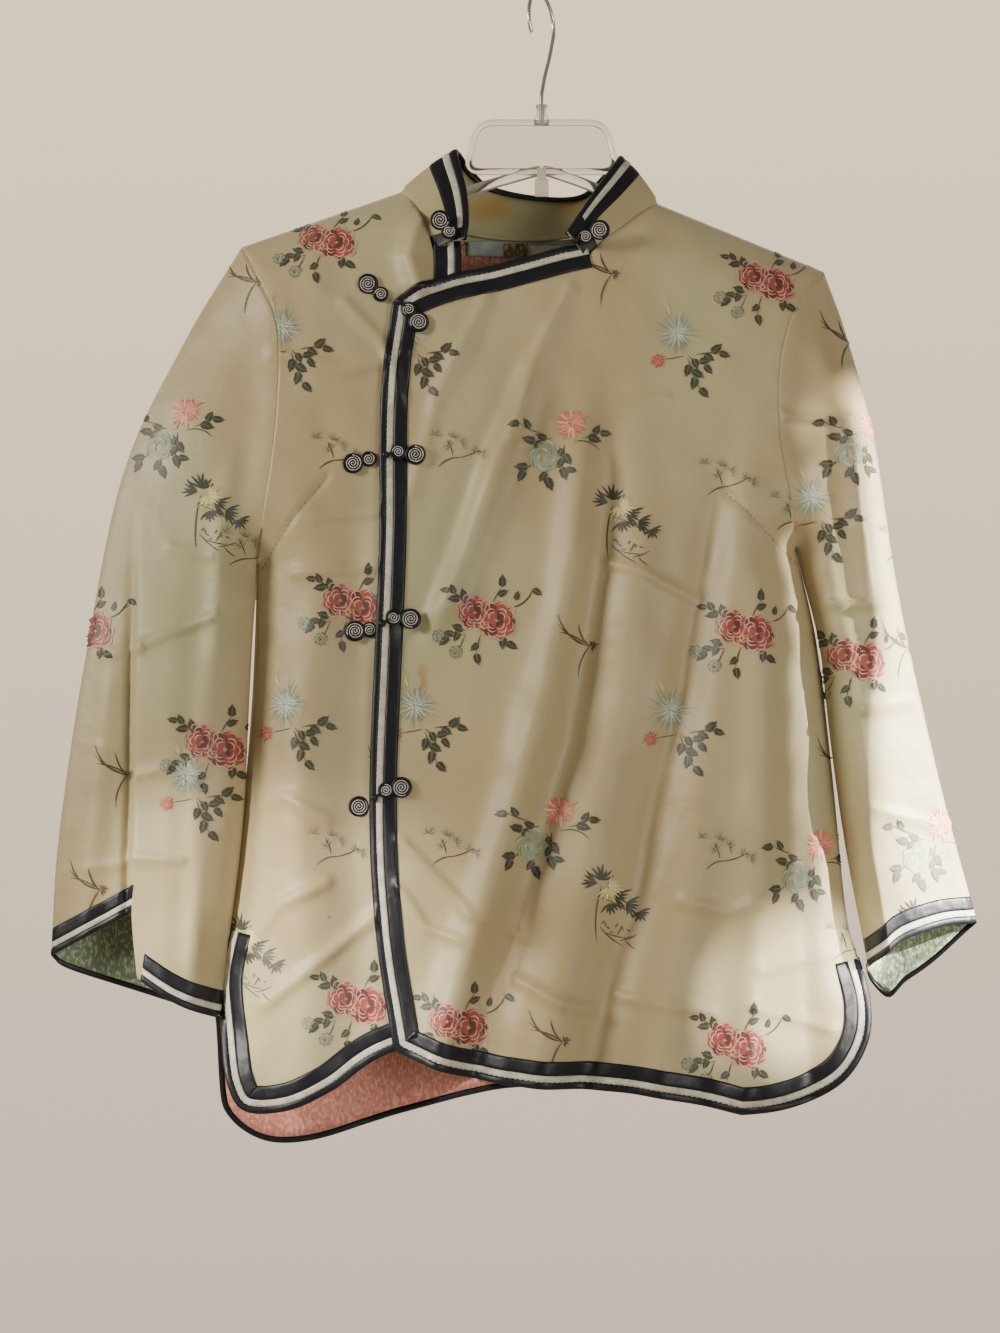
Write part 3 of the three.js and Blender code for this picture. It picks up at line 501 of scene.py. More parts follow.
def object_noise(nodes, links, scale, detail=3, stretch=(1, 1, 1)):
    """Noise on object coordinates, stretched along the axes."""
    where = nodes.new("ShaderNodeTexCoord")
    mapping = nodes.new("ShaderNodeMapping")
    mapping.inputs["Scale"].default_value = stretch
    noise = nodes.new("ShaderNodeTexNoise")
    noise.inputs["Scale"].default_value = scale
    noise.inputs["Detail"].default_value = detail
    links.new(where.outputs["Object"], mapping.inputs["Vector"])
    links.new(mapping.outputs["Vector"], noise.inputs["Vector"])
    return noise


def ramp(nodes, links, source, stops):
    """Colour ramp over a value, from pairs of position and colour."""
    node = nodes.new("ShaderNodeValToRGB")
    while len(node.color_ramp.elements) < len(stops):
        node.color_ramp.elements.new(0.5)
    for element, (position, color) in zip(node.color_ramp.elements, stops):
        element.position = position
        element.color = (*color, 1) if len(color) == 3 else color
    links.new(source, node.inputs["Fac"])
    return node


def mix(nodes, links, factor, a, b, mode="MIX"):
    """Mixes two colours by a factor, each either a socket or a colour."""
    node = nodes.new("ShaderNodeMix")
    node.data_type = "RGBA"
    node.blend_type = mode
    for value, socket in ((factor, node.inputs[0]), (a, node.inputs[6]), (b, node.inputs[7])):
        if isinstance(value, (int, float)):
            socket.default_value = value
        elif isinstance(value, tuple):
            socket.default_value = (*value, 1)
        else:
            links.new(value, socket)
    return node.outputs[2]


def bump(nodes, links, shader, heights):
    """Chain of bumps from pairs of height socket and depth in millimetres."""
    previous = None
    for source, depth in heights:
        node = nodes.new("ShaderNodeBump")
        node.inputs["Distance"].default_value = depth * MM
        links.new(source, node.inputs["Height"])
        if previous:
            links.new(previous.outputs["Normal"], node.inputs["Normal"])
        previous = node
    links.new(previous.outputs["Normal"], shader.inputs["Normal"])


RAGGED = 12  # how far a stain's edge wanders, in millimetres


def spot(nodes, links, x, z, size, inner=0.2):
    """1 inside a soft round patch at a place in millimetres, 0 outside, with a ragged edge."""
    where = nodes.new("ShaderNodeTexCoord")
    ragged = object_noise(nodes, links, 60, 3)
    shift = nodes.new("ShaderNodeVectorMath")
    shift.operation = "MULTIPLY_ADD"
    shift.inputs[1].default_value = (RAGGED * MM, 0, RAGGED * MM)
    links.new(ragged.outputs["Color"], shift.inputs[0])
    links.new(where.outputs["Object"], shift.inputs[2])
    mapping = nodes.new("ShaderNodeMapping")
    across, down = size
    mapping.inputs["Location"].default_value = (-(x + RAGGED / 2) / across, 0, -(z + RAGGED / 2) / down)
    mapping.inputs["Scale"].default_value = (1 / (across * MM), 0, 1 / (down * MM))
    links.new(shift.outputs[0], mapping.inputs["Vector"])
    length = nodes.new("ShaderNodeVectorMath")
    length.operation = "LENGTH"
    links.new(mapping.outputs["Vector"], length.inputs[0])
    fall = nodes.new("ShaderNodeMapRange")
    fall.inputs["From Min"].default_value = 1.0
    fall.inputs["From Max"].default_value = inner
    links.new(length.outputs["Value"], fall.inputs["Value"])
    return fall.outputs["Result"]


print("material helpers ready")

# %% Cloth materials
STAINS_AND_PAINTED_SHADE = [  # place, size, colour and strength of each mark on the silk
    dict(x=-83, z=-498, size=(4, 13), color=(0.42, 0.20, 0.06), strength=0.75),
    dict(x=-25, z=-310, size=(9, 8), color=(0.30, 0.28, 0.22), strength=0.35),
    dict(x=-147, z=-663, size=(3, 3), color=(0.16, 0.12, 0.08), strength=0.7),
    dict(x=-60, z=-560, size=(60, 70), color=(0.50, 0.36, 0.16), strength=0.28),
    dict(x=95, z=-545, size=(50, 45), color=(0.45, 0.36, 0.20), strength=0.22),
    dict(x=-150, z=-225, size=(50, 60), color=(0.42, 0.34, 0.20), strength=0.25),
    dict(x=-38, z=-150, size=(26, 14), color=(0.40, 0.24, 0.06), strength=0.8),
    dict(x=30, z=-146, size=(28, 12), color=(0.40, 0.26, 0.08), strength=0.7),
    dict(x=-150, z=-320, size=(70, 60), color=(0.42, 0.30, 0.14), strength=0.22),
    # Painted shade: this broad brown patch darkens the left sleeve's outer plane, which lies in shade.
    dict(x=-300, z=-420, size=(60, 110), color=(0.42, 0.32, 0.16), strength=0.35),
    dict(x=40, z=-700, size=(60, 40), color=(0.42, 0.32, 0.16), strength=0.2),
]


def silk_material(name, tint, stains_and_shade):
    """Champagne satin: slow colour drift, stains and a painted shade where asked, fine twill and slub, and
    sheen.
    """
    material, nodes, links, shader = new_material(
        name, tint, 0.5, Specular_IOR_Level=0.4, Sheen_Weight=0.2, Sheen_Roughness=0.4,
        Anisotropic=0.5)
    drift = object_noise(nodes, links, 7, 3, (1, 1, 0.5))
    darker = (tint[0] * 0.93, tint[1] * 0.86, tint[2] * 0.80)
    greener = (tint[0] * 0.93, tint[1] * 1.05, tint[2] * 1.06)
    color = ramp(nodes, links, drift.outputs["Fac"],
                 [(0.32, darker), (0.5, tint), (0.68, greener)]).outputs["Color"]
    age = object_noise(nodes, links, 22, 5)
    aged = ramp(nodes, links, age.outputs["Fac"], [(0.54, (0, 0, 0)), (0.78, (0.32, 0.32, 0.32))])
    color = mix(nodes, links, aged.outputs["Color"], color, tuple(c * 0.72 for c in tint))
    for stain_or_shade in STAINS_AND_PAINTED_SHADE if stains_and_shade else []:
        place = spot(nodes, links, stain_or_shade["x"], stain_or_shade["z"], stain_or_shade["size"])
        strength = nodes.new("ShaderNodeMath")
        strength.operation = "MULTIPLY"
        strength.inputs[1].default_value = stain_or_shade["strength"]
        links.new(place, strength.inputs[0])
        color = mix(nodes, links, strength.outputs[0], color, stain_or_shade["color"])
    links.new(color, shader.inputs["Base Color"])
    weave = object_noise(nodes, links, 1400, 1, (1, 1, 0.18))
    slub = object_noise(nodes, links, 260, 2, (0.12, 1, 1))
    crinkle = object_noise(nodes, links, 42, 4)
    uneven = nodes.new("ShaderNodeMapRange")
    uneven.inputs["To Min"].default_value = 0.40
    uneven.inputs["To Max"].default_value = 0.56
    links.new(age.outputs["Fac"], uneven.inputs["Value"])
    links.new(uneven.outputs["Result"], shader.inputs["Roughness"])
    bump(nodes, links, shader, [(crinkle.outputs["Fac"], 1.3), (slub.outputs["Fac"], 0.10),
                                (weave.outputs["Fac"], 0.05)])
    return material


def plain_cloth(name, color, roughness, lumps, depth, speckle=None, sheen=0.2):
    """A plain woven cloth: two tones in patches, optional coloured specks, and a lumpy bump."""
    material, nodes, links, shader = new_material(
        name, color, roughness, Sheen_Weight=sheen, Sheen_Roughness=0.4, Specular_IOR_Level=0.4)
    tone = object_noise(nodes, links, lumps, 4)
    base = ramp(nodes, links, tone.outputs["Fac"],
                [(0.35, tuple(c * 0.7 for c in color)), (0.65, color)]).outputs["Color"]
    if speckle:
        specks = object_noise(nodes, links, 520, 2, (1, 1, 0.5))
        dots = ramp(nodes, links, specks.outputs["Fac"], [(0.52, (0, 0, 0)), (0.6, (1, 1, 1))])
        base = mix(nodes, links, dots.outputs["Color"], base, speckle)
    links.new(base, shader.inputs["Base Color"])
    weave = object_noise(nodes, links, 1300, 1, (1, 1, 0.3))
    bump(nodes, links, shader, [(tone.outputs["Fac"], depth), (weave.outputs["Fac"], 0.07)])
    return material


SILK = silk_material("champagne_silk", (0.43, 0.357, 0.195), True)
SILK_BACK = silk_material("champagne_silk_back", (0.42, 0.37, 0.215), False)
NAVY = plain_cloth("navy_satin", (0.0035, 0.004, 0.0085), 0.45, 120, 0.5, sheen=0.03)
PIPING = plain_cloth("cream_piping", (0.60, 0.56, 0.46), 0.6, 160, 0.3)
LINING = plain_cloth("salmon_lining", (0.66, 0.26, 0.20), 0.5, 330, 0.9, (0.74, 0.36, 0.27))
GREEN = plain_cloth("green_lining", (0.22, 0.29, 0.18), 0.7, 300, 0.6, (0.44, 0.50, 0.36))
TAPE = plain_cloth("pale_neck_tape", (0.44, 0.52, 0.48), 0.6, 90, 0.2)
LABEL_DARK = plain_cloth("brown_label", (0.16, 0.11, 0.05), 0.7, 400, 0.3, (0.36, 0.28, 0.13))
# Painted light: the cream label's colour is raised above its own tone to make up for the shade it hangs in
# inside the neck.
LABEL_LIGHT = plain_cloth("cream_label", (0.86, 0.74, 0.48), 0.75, 200, 0.2)
CORD = plain_cloth("silver_cord", (0.50, 0.47, 0.43), 0.4, 900, 0.3, (0.62, 0.59, 0.54))
THREAD_DARK = plain_cloth("brown_thread", (0.20, 0.15, 0.08), 0.6, 600, 0.1)
print("cloth materials:", len(bpy.data.materials))

# %% [markdown]
# ## The panels
# The front is two pieces: the over front with its slanted top edge, and the under front beneath it.
# Free edges are lists of smooth stretches that meet at corners. The back hangs lower on one side,
# so its salmon lining shows below the front.

# %% Free edges
OVER_EDGE = [
    [(17, -193), (-27, -205), (-62, -213), (-92, -224), (-105, -233)],
    [(-105, -233), (-113, -300), (-114, -411), (-120, -580), (-115, -676), (-103, -751)],
    [(-103, -751), (-96, -757), (-54, -772), (-8, -779), (55, -783), (100, -790), (135, -797)],
    [(135, -797), (162, -795), (188, -788), (210, -773), (224, -749), (227, -722), (222, -693)],
]
UNDER_EDGE = [
    [(-58, -201), (-58, -300), (-54, -500), (-50, -738)],
    [(-50, -738), (-111, -758), (-145, -781), (-176, -795), (-205, -796), (-217, -780), (-223, -750),
     (-228, -708), (-222, -673)],
]
BACK_EDGE = [
    [(-222, -673), (-229, -721), (-229, -785), (-221, -808), (-197, -823), (-165, -823), (-126, -812),
     (-97, -803), (-52, -791), (-14, -785), (40, -786), (110, -788), (180, -788), (210, -771), (226, -735),
     (222, -693)],
]
LEFT_CUFF_FRONT = [[(-346, -691), (-316, -675), (-288, -659)], [(-288, -659), (-284, -705)],
                   [(-284, -705), (-258, -722), (-231, -734)]]
LEFT_CUFF_BACK = [[(-346, -691), (-335, -701), (-281, -721), (-252, -730), (-231, -734)]]
RIGHT_CUFF_FRONT = [[(235, -698), (241, -692), (256, -679), (283, -670), (306, -668)]]
RIGHT_CUFF_BACK = [[(235, -698), (241, -711), (252, -722), (262, -711), (272, -703), (284, -692),
                    (306, -668)]]


def edge_line(stretches, step=3.0):
    """Points of a free edge about one step apart, each stretch smoothed by itself."""
    parts = []
    for stretch in stretches:
        length = np.hypot(*np.diff(np.array(stretch, float), axis=0).T).sum()
        parts.append(smooth(stretch, max(3, int(length / step)))[:-1])
    return np.vstack(parts + [np.array([stretches[-1][-1]], float)])


def inset(edge, distance, side):
    """The edge moved sideways: each point goes along the normal of its mean direction, a little
    further at a corner."""
    step = np.diff(edge, axis=0)
    unit = step / np.linalg.norm(step, axis=1, keepdims=True)
    before = np.vstack([unit[:1], unit])
    after = np.vstack([unit, unit[-1:]])
    along = before + after
    along /= np.linalg.norm(along, axis=1, keepdims=True)
    mitre = np.clip((along * before).sum(1), 0.5, 1)
    return edge + side * distance * np.column_stack([-along[:, 1], along[:, 0]]) / mitre[:, None]


over_edge = edge_line(OVER_EDGE)
under_edge = edge_line(UNDER_EDGE)
back_edge = edge_line(BACK_EDGE)
over_outline = np.vstack([over_edge, [(330, -693), (330, -90), (82, -90), (82, -151.5)],
                          smooth([(82, -151.5), (63, -170.5), (45, -186), (31, -201)], 30)])
under_outline = np.vstack([under_edge, [(-330, -673), (-330, -90), (-98, -90), (-98, -142.5)],
                           smooth([(-98, -142.5), (-90, -160), (-82, -178), (-76, -200)], 30)])
back_neck = smooth([(82, -152.5), (62, -163.5), (31, -172.5), (-10, -175.5), (-52, -170.5), (-82, -158.5),
                    (-98, -143.5)], 90)
back_outline = np.vstack([back_edge, [(330, -693), (330, -90), (82, -90)], back_neck,
                          [(-98, -90), (-330, -90), (-330, -673)]])

# %% Panel grid
armhole_left = smooth(ARMHOLE_LEFT, 82)
armhole_right = smooth(ARMHOLE_RIGHT, 82)
body_left = np.vstack([armhole_left, side_left[1:]])
body_right = np.vstack([armhole_right, side_right[1:]])
body_foot = straight((-244, -850), (244, -850), len(shoulders))
body_grid = between(shoulders, body_foot, body_left, body_right)
SHEET_WALL = 0.8
PANELS = {
    "over_front": dict(outline=over_outline, face=over_face, front=True, flat=(0.43, 0.68)),
    "under_front": dict(outline=under_outline, face=under_face, front=True, flat=(0.24, 0.68)),
    "back": dict(outline=back_outline, face=back_face, front=False, flat=(0.50, 0.72)),
}
panels = {}
for name, panel in PANELS.items():
    x, z, quads = cut_sheet(body_grid, panel["outline"])
    y = panel["face"](x, z)
    quads = facing_front(quads, x, z, panel["front"])
    piece = wall(new_object(f"silk_{name}", np.column_stack([x, y, z]), quads,
                            SILK if panel["front"] else SILK_BACK), SHEET_WALL)
    panels[name] = dict(piece=piece, area=sheet_area(x, y, z, quads), flat=panel["flat"])
    print(name, "points", len(x), "area", round(panels[name]["area"], 4), "m2")

# %% [markdown]
# ## Sleeves
# Each sleeve is one tube. Its front and back share the same two folded edges, so the rows run
# across the front and return across the back. The left cuff steps where the sleeve folds over
# itself, and both cuffs are cut longer behind, so that their lining shows.

# %% Sleeve tubes


def moved(places, shift):
    """A fold line moved sideways, more and more down to its third place."""
    p = np.array(places, float)
    p[:, 0] += shift * np.minimum(np.arange(len(p)) / 2, 1)
    return p


SLEEVES = {
    "left_sleeve": dict(armhole=armhole_left, body=under_face, outer=OUTER_LEFT,
                        inner=moved(INNER_LEFT, 6), ridge=RIDGE_LEFT, front=LEFT_CUFF_FRONT,
                        back=LEFT_CUFF_BACK, rounding=24, power=2.3, turn=False),
    "right_sleeve": dict(armhole=armhole_right, body=over_face, outer=OUTER_RIGHT,
                         inner=moved(INNER_RIGHT, -7), ridge=RIDGE_RIGHT, front=RIGHT_CUFF_FRONT,
                         back=RIGHT_CUFF_BACK, rounding=20, power=1.2, turn=True),
}
ACROSS, DOWN = 76, 146  # columns and rows of a sleeve's grids


def sleeve_grids(sleeve):
    """Places of a sleeve's front and back grids, which share both folded edges."""
    left, right = smooth(sleeve["outer"], DOWN), smooth(sleeve["inner"], DOWN)
    sleeve["outer_line"], sleeve["inner_line"] = left[::4], right[::6]
    sleeve["ridge_line"] = smooth(sleeve["ridge"], 60)
    grids = []
    for where in ("front", "back"):
        cuff = edge_line(sleeve[where])
        if abs(cuff[0, 0] - left[-1, 0]) > 20:
            cuff = cuff[::-1]
        bottom = even(cuff, ACROSS)
        bottom = bottom + np.linspace(left[-1] - bottom[0], right[-1] - bottom[-1], ACROSS)
        grids.append(between(even(sleeve["armhole"], ACROSS), bottom, left, right))
    return grids


def sleeve_tube(name, sleeve):
    """A tube: the front grid from the outer fold to the inner one, then the back grid returning."""
    sides = []
    for grid, front in zip(sleeve["grids"], (True, False)):
        x, z = grid[..., 0], grid[..., 1]
        sides.append(np.stack([x, sleeve_face(x, z, sleeve, front), z], -1))
    ring = np.concatenate([sides[0], sides[1][:, -2:0:-1]], axis=1)
    faces = grid_faces(*ring.shape[:2], wrap=True)
    if sleeve["turn"]:
        faces = faces[:, ::-1]
    points = ring.reshape(-1, 3)
    piece = wall(new_object(f"silk_{name}", points, faces, SILK), SHEET_WALL)
    area = sheet_area(*points.T, faces)
    print(name, "points", len(points), "area", round(area, 4), "m2")
    return dict(piece=piece, area=area, flat=(0.42, 0.56))


for name, sleeve in SLEEVES.items():
    sleeve["grids"] = sleeve_grids(sleeve)
    panels[name] = sleeve_tube(name, sleeve)

# %% [markdown]
# ## Triple borders
# Every free edge carries a narrow navy binding, a cream piping and a wide navy satin band.
# Each is a strip carried along the edge: it follows the cloth below it, stands slightly proud,
# is crowned across its width, and puckers a little along its stitching.

# %% Border strips
LOOKS = dict(piping=dict(material=PIPING, span=(4.3, 8.8), crown=0.55),
             band=dict(material=NAVY, span=(8.8, 18.6), crown=0.35))
# The binding's section: inset and height of each line, from the cloth round the edge to the inside.
BINDING_PLACES = (4.3, 3.7, 2.2, 0.6, -0.5, -0.8, -0.4, 0.8, 2.4, 3.6)
BINDING_HEIGHTS = (0.7, 1.25, 1.5, 1.4, 0.9, -0.2, -1.3, -1.7, -1.7, -1.3)


def outwards_of(face):
    """-1 for a face that looks to the front and 1 for one that looks to the back."""
    return float(np.sign(face(*CHEST))[0])


def strip_mesh(name, lines, heights, face, outwards, material, thickness):
    """A strip from its lines: rows of places along the edge, each with a height off the cloth."""
    x, z = lines[..., 0], lines[..., 1]
    y = face(x, z) + outwards * heights
    faces = grid_faces(*lines.shape[:2])
    points = np.stack([x, y, z], -1).reshape(-1, 3)
    a, b, c = (points[faces[:, k]] for k in range(3))
    first = np.arange(len(faces)) % (lines.shape[1] - 1) == 1
    if (np.cross(b - a, c - a)[first, 1].sum() > 0) != (outwards > 0):
        faces = faces[:, ::-1]
    return wall(new_object(name, points, faces, material), thickness)


def ruffled(lines, crown, lift=0.7, pucker=0.14):
    """Heights across a flat strip: a half-round crown, and short puckers along its length."""
    length = distances_along(lines[:, 0])[:, None]
    t = np.linspace(-1, 1, lines.shape[1])[None]
    phase = waves(length + 0 * t, 9 * t + 0 * length, 11, 21)
    puckers = pucker * np.sin(length / 1.9 + 3 * phase) * (1 - t * t)
    return lift + crown * np.sqrt(np.clip(1 - t**4, 0, 1)) + puckers


def three_borders(name, node, cloth, lines_at, face, outwards):
    """Binding, piping and band along one edge. lines_at gives the lines at a list of insets."""
    lines = lines_at(BINDING_PLACES)
    heights = np.tile(BINDING_HEIGHTS, (len(lines), 1))
    strip = strip_mesh(f"{name}_binding_strip", lines, heights, face, outwards, NAVY, 0.25)
    borders.append((strip, cloth, f"{node}_binding"))
    for kind, look in LOOKS.items():
        lines = lines_at(np.linspace(*look["span"], 7))
        strip = strip_mesh(f"{name}_{kind}_strip", lines, ruffled(lines, look["crown"]), face,
                           outwards, look["material"], 0.7)
        borders.append((strip, cloth, f"{node}_{kind}"))


def cuff_lines(grid, distances):
    """Places on the columns of a sleeve grid at distances above the cuff."""
    lines = np.array([at_distances(grid[::-1, k], distances) for k in range(grid.shape[1])])
    lines[..., 1] += np.minimum(distances, 0)
    return lines


borders = []
over_border = np.vstack([straight((31, -190), over_edge[0], 6)[:-1], over_edge])
under_border = np.vstack([straight((-58.5, -188), under_edge[0], 6)[:-1], under_edge])
for name, edge, side, face in (("over_front", over_border, 1, over_face),
                               ("under_front", under_border, -1, under_face),
                               ("back", back_edge, 1, back_face)):
    three_borders(name, name, name, lambda insets: np.stack([inset(edge, w, side) for w in insets], 1),
                  face, outwards_of(face))
CUFF_PARTS = {  # which columns of the front and back grids carry a border
    "left_sleeve": dict(front=[slice(0, 30), slice(50, ACROSS)], back=[slice(0, ACROSS)]),
    "right_sleeve": dict(front=[slice(0, ACROSS)], back=[slice(0, ACROSS)]),
}
for name, parts in CUFF_PARTS.items():
    for where, grid in zip(("front", "back"), SLEEVES[name]["grids"]):
        for number, part in enumerate(parts[where]):
            three_borders(f"{name}_{where}_{number}", f"{name}_cuff_{where}", name,
                          lambda insets: cuff_lines(grid[:, part], insets),
                          lambda x, z: sleeve_face(x, z, SLEEVES[name], where == "front"),
                          -1.0 if where == "front" else 1.0)
print("border strips:", len(borders))

# %% [markdown]
# ## Linings and the back of the neck
# The salmon lining is a crinkled jacquard. It fills the back from the neck to the hem binding.
# A pale tape covers the neck seam, and two small blank labels are sewn on it.
# Inside each cuff lies a strip of speckled green lining.

# %% Lining sheets


def inside_back(x, z, depth):
    """Inner face of the back, brought forward by a depth and by fine crinkles."""
    return back_y(x, z) - depth - 0.25 * waves(x, z, 6, 8)


LINING_TOP = [(196, -640), (182, -480), (160, -400), (158, -330), (172, -240), (120, -206), (80, -185),
              (40, -178), (-10, -181), (-50, -177), (-90, -190), (-140, -208), (-184, -226), (-176, -330),
              (-190, -430), (-200, -560), (-212, -640)]
lining_outline = np.vstack([inset(back_edge, 4.0, 1), smooth(LINING_TOP, 160)])
x, z, quads = cut_sheet(body_grid[::2, ::2], lining_outline)
quads = facing_front(quads, x, z)
y = inside_back(x, z, 0.9)
lining = wall(new_object("salmon_back_lining", np.column_stack([x, y, z]), quads, LINING), 0.4)
panels["lining"] = dict(piece=lining, area=sheet_area(x, y, z, quads), flat=(0.46, 0.66))


def patch_inside(name, left, right, top, bottom, depth, material, thickness, sag=0.0):
    """A small rectangle sewn inside the back: a grid on the lining, its lower edge sagging."""
    u, v = np.meshgrid(np.linspace(0, 1, 40), np.linspace(0, 1, 12))
    x = left + (right - left) * u
    z = top + (bottom - top) * v - sag * np.sin(np.pi * u) * v
    y = back_y(x, z) - depth - 0.3 * waves(x, z, 12, 9)
    points = np.stack([x, y, z], -1).reshape(-1, 3)
    faces = facing_front(grid_faces(12, 40), points[:, 0], points[:, 2])
    return wall(new_object(name, points, faces, material), thickness)


tape = patch_inside("pale_neck_tape_strip", -54, 50, -176.5, -186, 2.4, TAPE, 0.4, 2)
label_dark = patch_inside("blank_brown_label", -27, -10, -178, -187, 3.4, LABEL_DARK, 0.4)
label_light = patch_inside("blank_cream_label", -8, 16, -180, -190, 3.4, LABEL_LIGHT, 0.4, 1)


def cuff_lining(name, sleeve):
    """Lining along the back of a cuff, from 3.5 to 85 mm above the edge."""
    lines = cuff_lines(sleeve["grids"][1], np.linspace(3.5, 85, 24))[3:-3]
    x, z = lines[..., 0], lines[..., 1]
    y = sleeve_face(x, z, sleeve, False) - SHEET_WALL - 0.7 - 0.2 * waves(x, z, 7, 12)
    points = np.stack([x, y, z], -1).reshape(-1, 3)
    faces = facing_front(grid_faces(*lines.shape[:2]), points[:, 0], points[:, 2])
    return dict(piece=wall(new_object(name, points, faces, GREEN), 0.3), area=sheet_area(*points.T, faces))


for side, flat in (("left", (0.13, 0.10)), ("right", (0.10, 0.09))):
    panels[f"{side}_cuff_lining"] = dict(
        **cuff_lining(f"green_{side}_cuff_lining", SLEEVES[f"{side}_sleeve"]), flat=flat)
print("lining area", round(panels["lining"]["area"], 4), "m2")

# %% [markdown]
# ## The stand collar
# The collar is a straight band of stiffened silk, sewn round the neck and left open in front.
# It is a ruled surface: straight lines join the neck seam to the top edge, station by station.
# Its borders are the upper part of the same surface, moved outwards along its normals.

# %% Collar surface
COLLAR = [  # neck seam place, top edge place and depth of the top edge
    dict(seam=(-75, -194), top=(-55, -188), top_y=-36), dict(seam=(-81, -178), top=(-53, -172), top_y=-32),
    dict(seam=(-89, -160), top=(-55, -148), top_y=-20), dict(seam=(-97, -142), top=(-62, -115), top_y=-2),
    dict(seam=(-82, -157), top=(-53, -122), top_y=16), dict(seam=(-52, -169), top=(-38, -134), top_y=24),
    dict(seam=(-10, -174), top=(-5, -141), top_y=27), dict(seam=(31, -171), top=(28, -141), top_y=26),
    dict(seam=(62, -162), top=(46, -128), top_y=19), dict(seam=(81, -150), top=(57, -118), top_y=2),
    dict(seam=(63, -170), top=(47, -136), top_y=-16), dict(seam=(44, -186), top=(32, -160), top_y=-29),
    dict(seam=(30, -202), top=(17, -184), top_y=-37),
]
COLLAR_STEPS = 240


def collar_line(which):
    """The seam or the top edge of the collar as a smooth line through its stations in space."""
    rows = []
    for k, station in enumerate(COLLAR):
        px, pz = station[which]
        if which == "top":
            rows.append((px, station["top_y"], pz))
        else:
            ax, az = np.array([float(px)]), np.array([float(pz)])
            on_back = 3 < k < 9
            y = back_y(ax, az) if on_back else front_y(ax, az) - (over_lift(ax) if k > 6 else 0)
            rows.append((px, float(y[0]), pz + 1.0))
    rows = np.array(rows)
    t = np.linspace(0, len(rows) - 1, COLLAR_STEPS)
    k = np.minimum(t.astype(int), len(rows) - 2)
    padded = with_ends(rows)
    return cubic(*(padded[k + i] for i in range(4)), (t - k)[:, None])


seam_line, top_line = collar_line("seam"), collar_line("top")


def collar_grid(heights, out):
    """Ruled surface at a row of heights, bowed a little between seam and top, each row moved out."""
    v = np.asarray(heights, float)[None, :, None]
    base = seam_line[:, None] * (1 - v) + top_line[:, None] * v
    along = np.gradient(base, axis=0)
    normal = np.cross(along, (top_line - seam_line)[:, None])
    normal /= np.linalg.norm(normal, axis=2, keepdims=True)
    station = np.arange(COLLAR_STEPS)[:, None, None] + 0 * v
    bow = 1.2 * np.sin(np.pi * v) + 0.25 * waves(station, 30 * v, 25, 14)
    return base - normal * (np.asarray(out, float)[None, :, None] + bow)


def collar_piece(name, heights, out, material, thickness):
    """A piece of the collar as a mesh, its faces outwards."""
    points = collar_grid(heights, out).reshape(-1, 3)
    return wall(new_object(name, points, grid_faces(COLLAR_STEPS, len(heights)), material), thickness)


whole = np.r_[-0.12, -0.06, np.linspace(0, 1, 18)]
tucked = np.r_[-1.6, -1.0, np.zeros(18)]
collar = collar_piece("silk_collar", whole, tucked, SILK, 1.2)
collar_points = collar_grid(whole, tucked).reshape(-1, 3)
collar_area = sheet_area(*collar_points.T, grid_faces(COLLAR_STEPS, len(whole)))
panels["collar"] = dict(piece=collar, area=collar_area, flat=(0.42, 0.055))
arch = np.sqrt(np.clip(1 - np.linspace(-1, 1, 7) ** 4, 0, 1))
for kind, heights, out, material, thickness in (
        ("band", np.linspace(0.50, 0.76, 7), 0.6 + 0.35 * arch, NAVY, 0.7),
        ("piping", np.linspace(0.76, 0.88, 7), 0.6 + 0.55 * arch, PIPING, 0.7),
        ("binding", (0.88, 0.90, 0.94, 0.99, 1.02, 1.02, 0.99, 0.94, 0.90),
         (0.6, 1.2, 1.4, 1.3, 0.5, -1.6, -2.3, -2.4, -2.0), NAVY, 0.25)):
    strip = collar_piece(f"collar_{kind}_strip", heights, out, material, thickness)
    borders.append((strip, "collar", f"collar_{kind}"))
END_HEIGHTS = np.r_[-0.12, -0.04, np.linspace(0.04, 0.96, 12)]
END_OUT = np.r_[0.1, 0.5, np.full(12, 1.0)]
for where, columns in (("left", slice(0, 12)), ("right", slice(COLLAR_STEPS - 13, COLLAR_STEPS))):
    points = collar_grid(END_HEIGHTS, END_OUT)[columns]
    faces = grid_faces(*points.shape[:2])
    end = new_object(f"collar_{where}_end_strip", points.reshape(-1, 3), faces, NAVY)
    borders.append((wall(end, 0.9), "collar", "collar_binding"))
print("collar area", round(panels["collar"]["area"], 4), "m2")

# %% [markdown]
# ## Coiled frogs
# A frog is a silk cord coiled flat into a large and a small spiral on each side of the opening.
# One side ends in a knot and the other in a loop. Each coil is a round tube carried along an
# Archimedean spiral: its radius grows by the same amount on every turn.

# %% Cords
CORD_RADIUS = 0.36


def tube(name, path, radius, material, sides=8):
    """A round tube: circles of points carried along a path, in the plane across its direction."""
    path = np.asarray(path, float)
    along = np.gradient(path, axis=0)
    along /= np.linalg.norm(along, axis=1, keepdims=True)
    up = np.where(np.abs(along[:, 1:2]) > 0.9, [[1.0, 0, 0]], [[0, 1.0, 0]])
    right = np.cross(along, up)
    right /= np.linalg.norm(right, axis=1, keepdims=True)
    other = np.cross(right, along)
    angle = np.linspace(0, 2 * np.pi, sides, endpoint=False)[None, :, None]
    ring = path[:, None] + radius * (np.cos(angle) * right[:, None] + np.sin(angle) * other[:, None])
    return closed_mesh(name, ring.reshape(-1, 3), capped(len(path), sides), material)


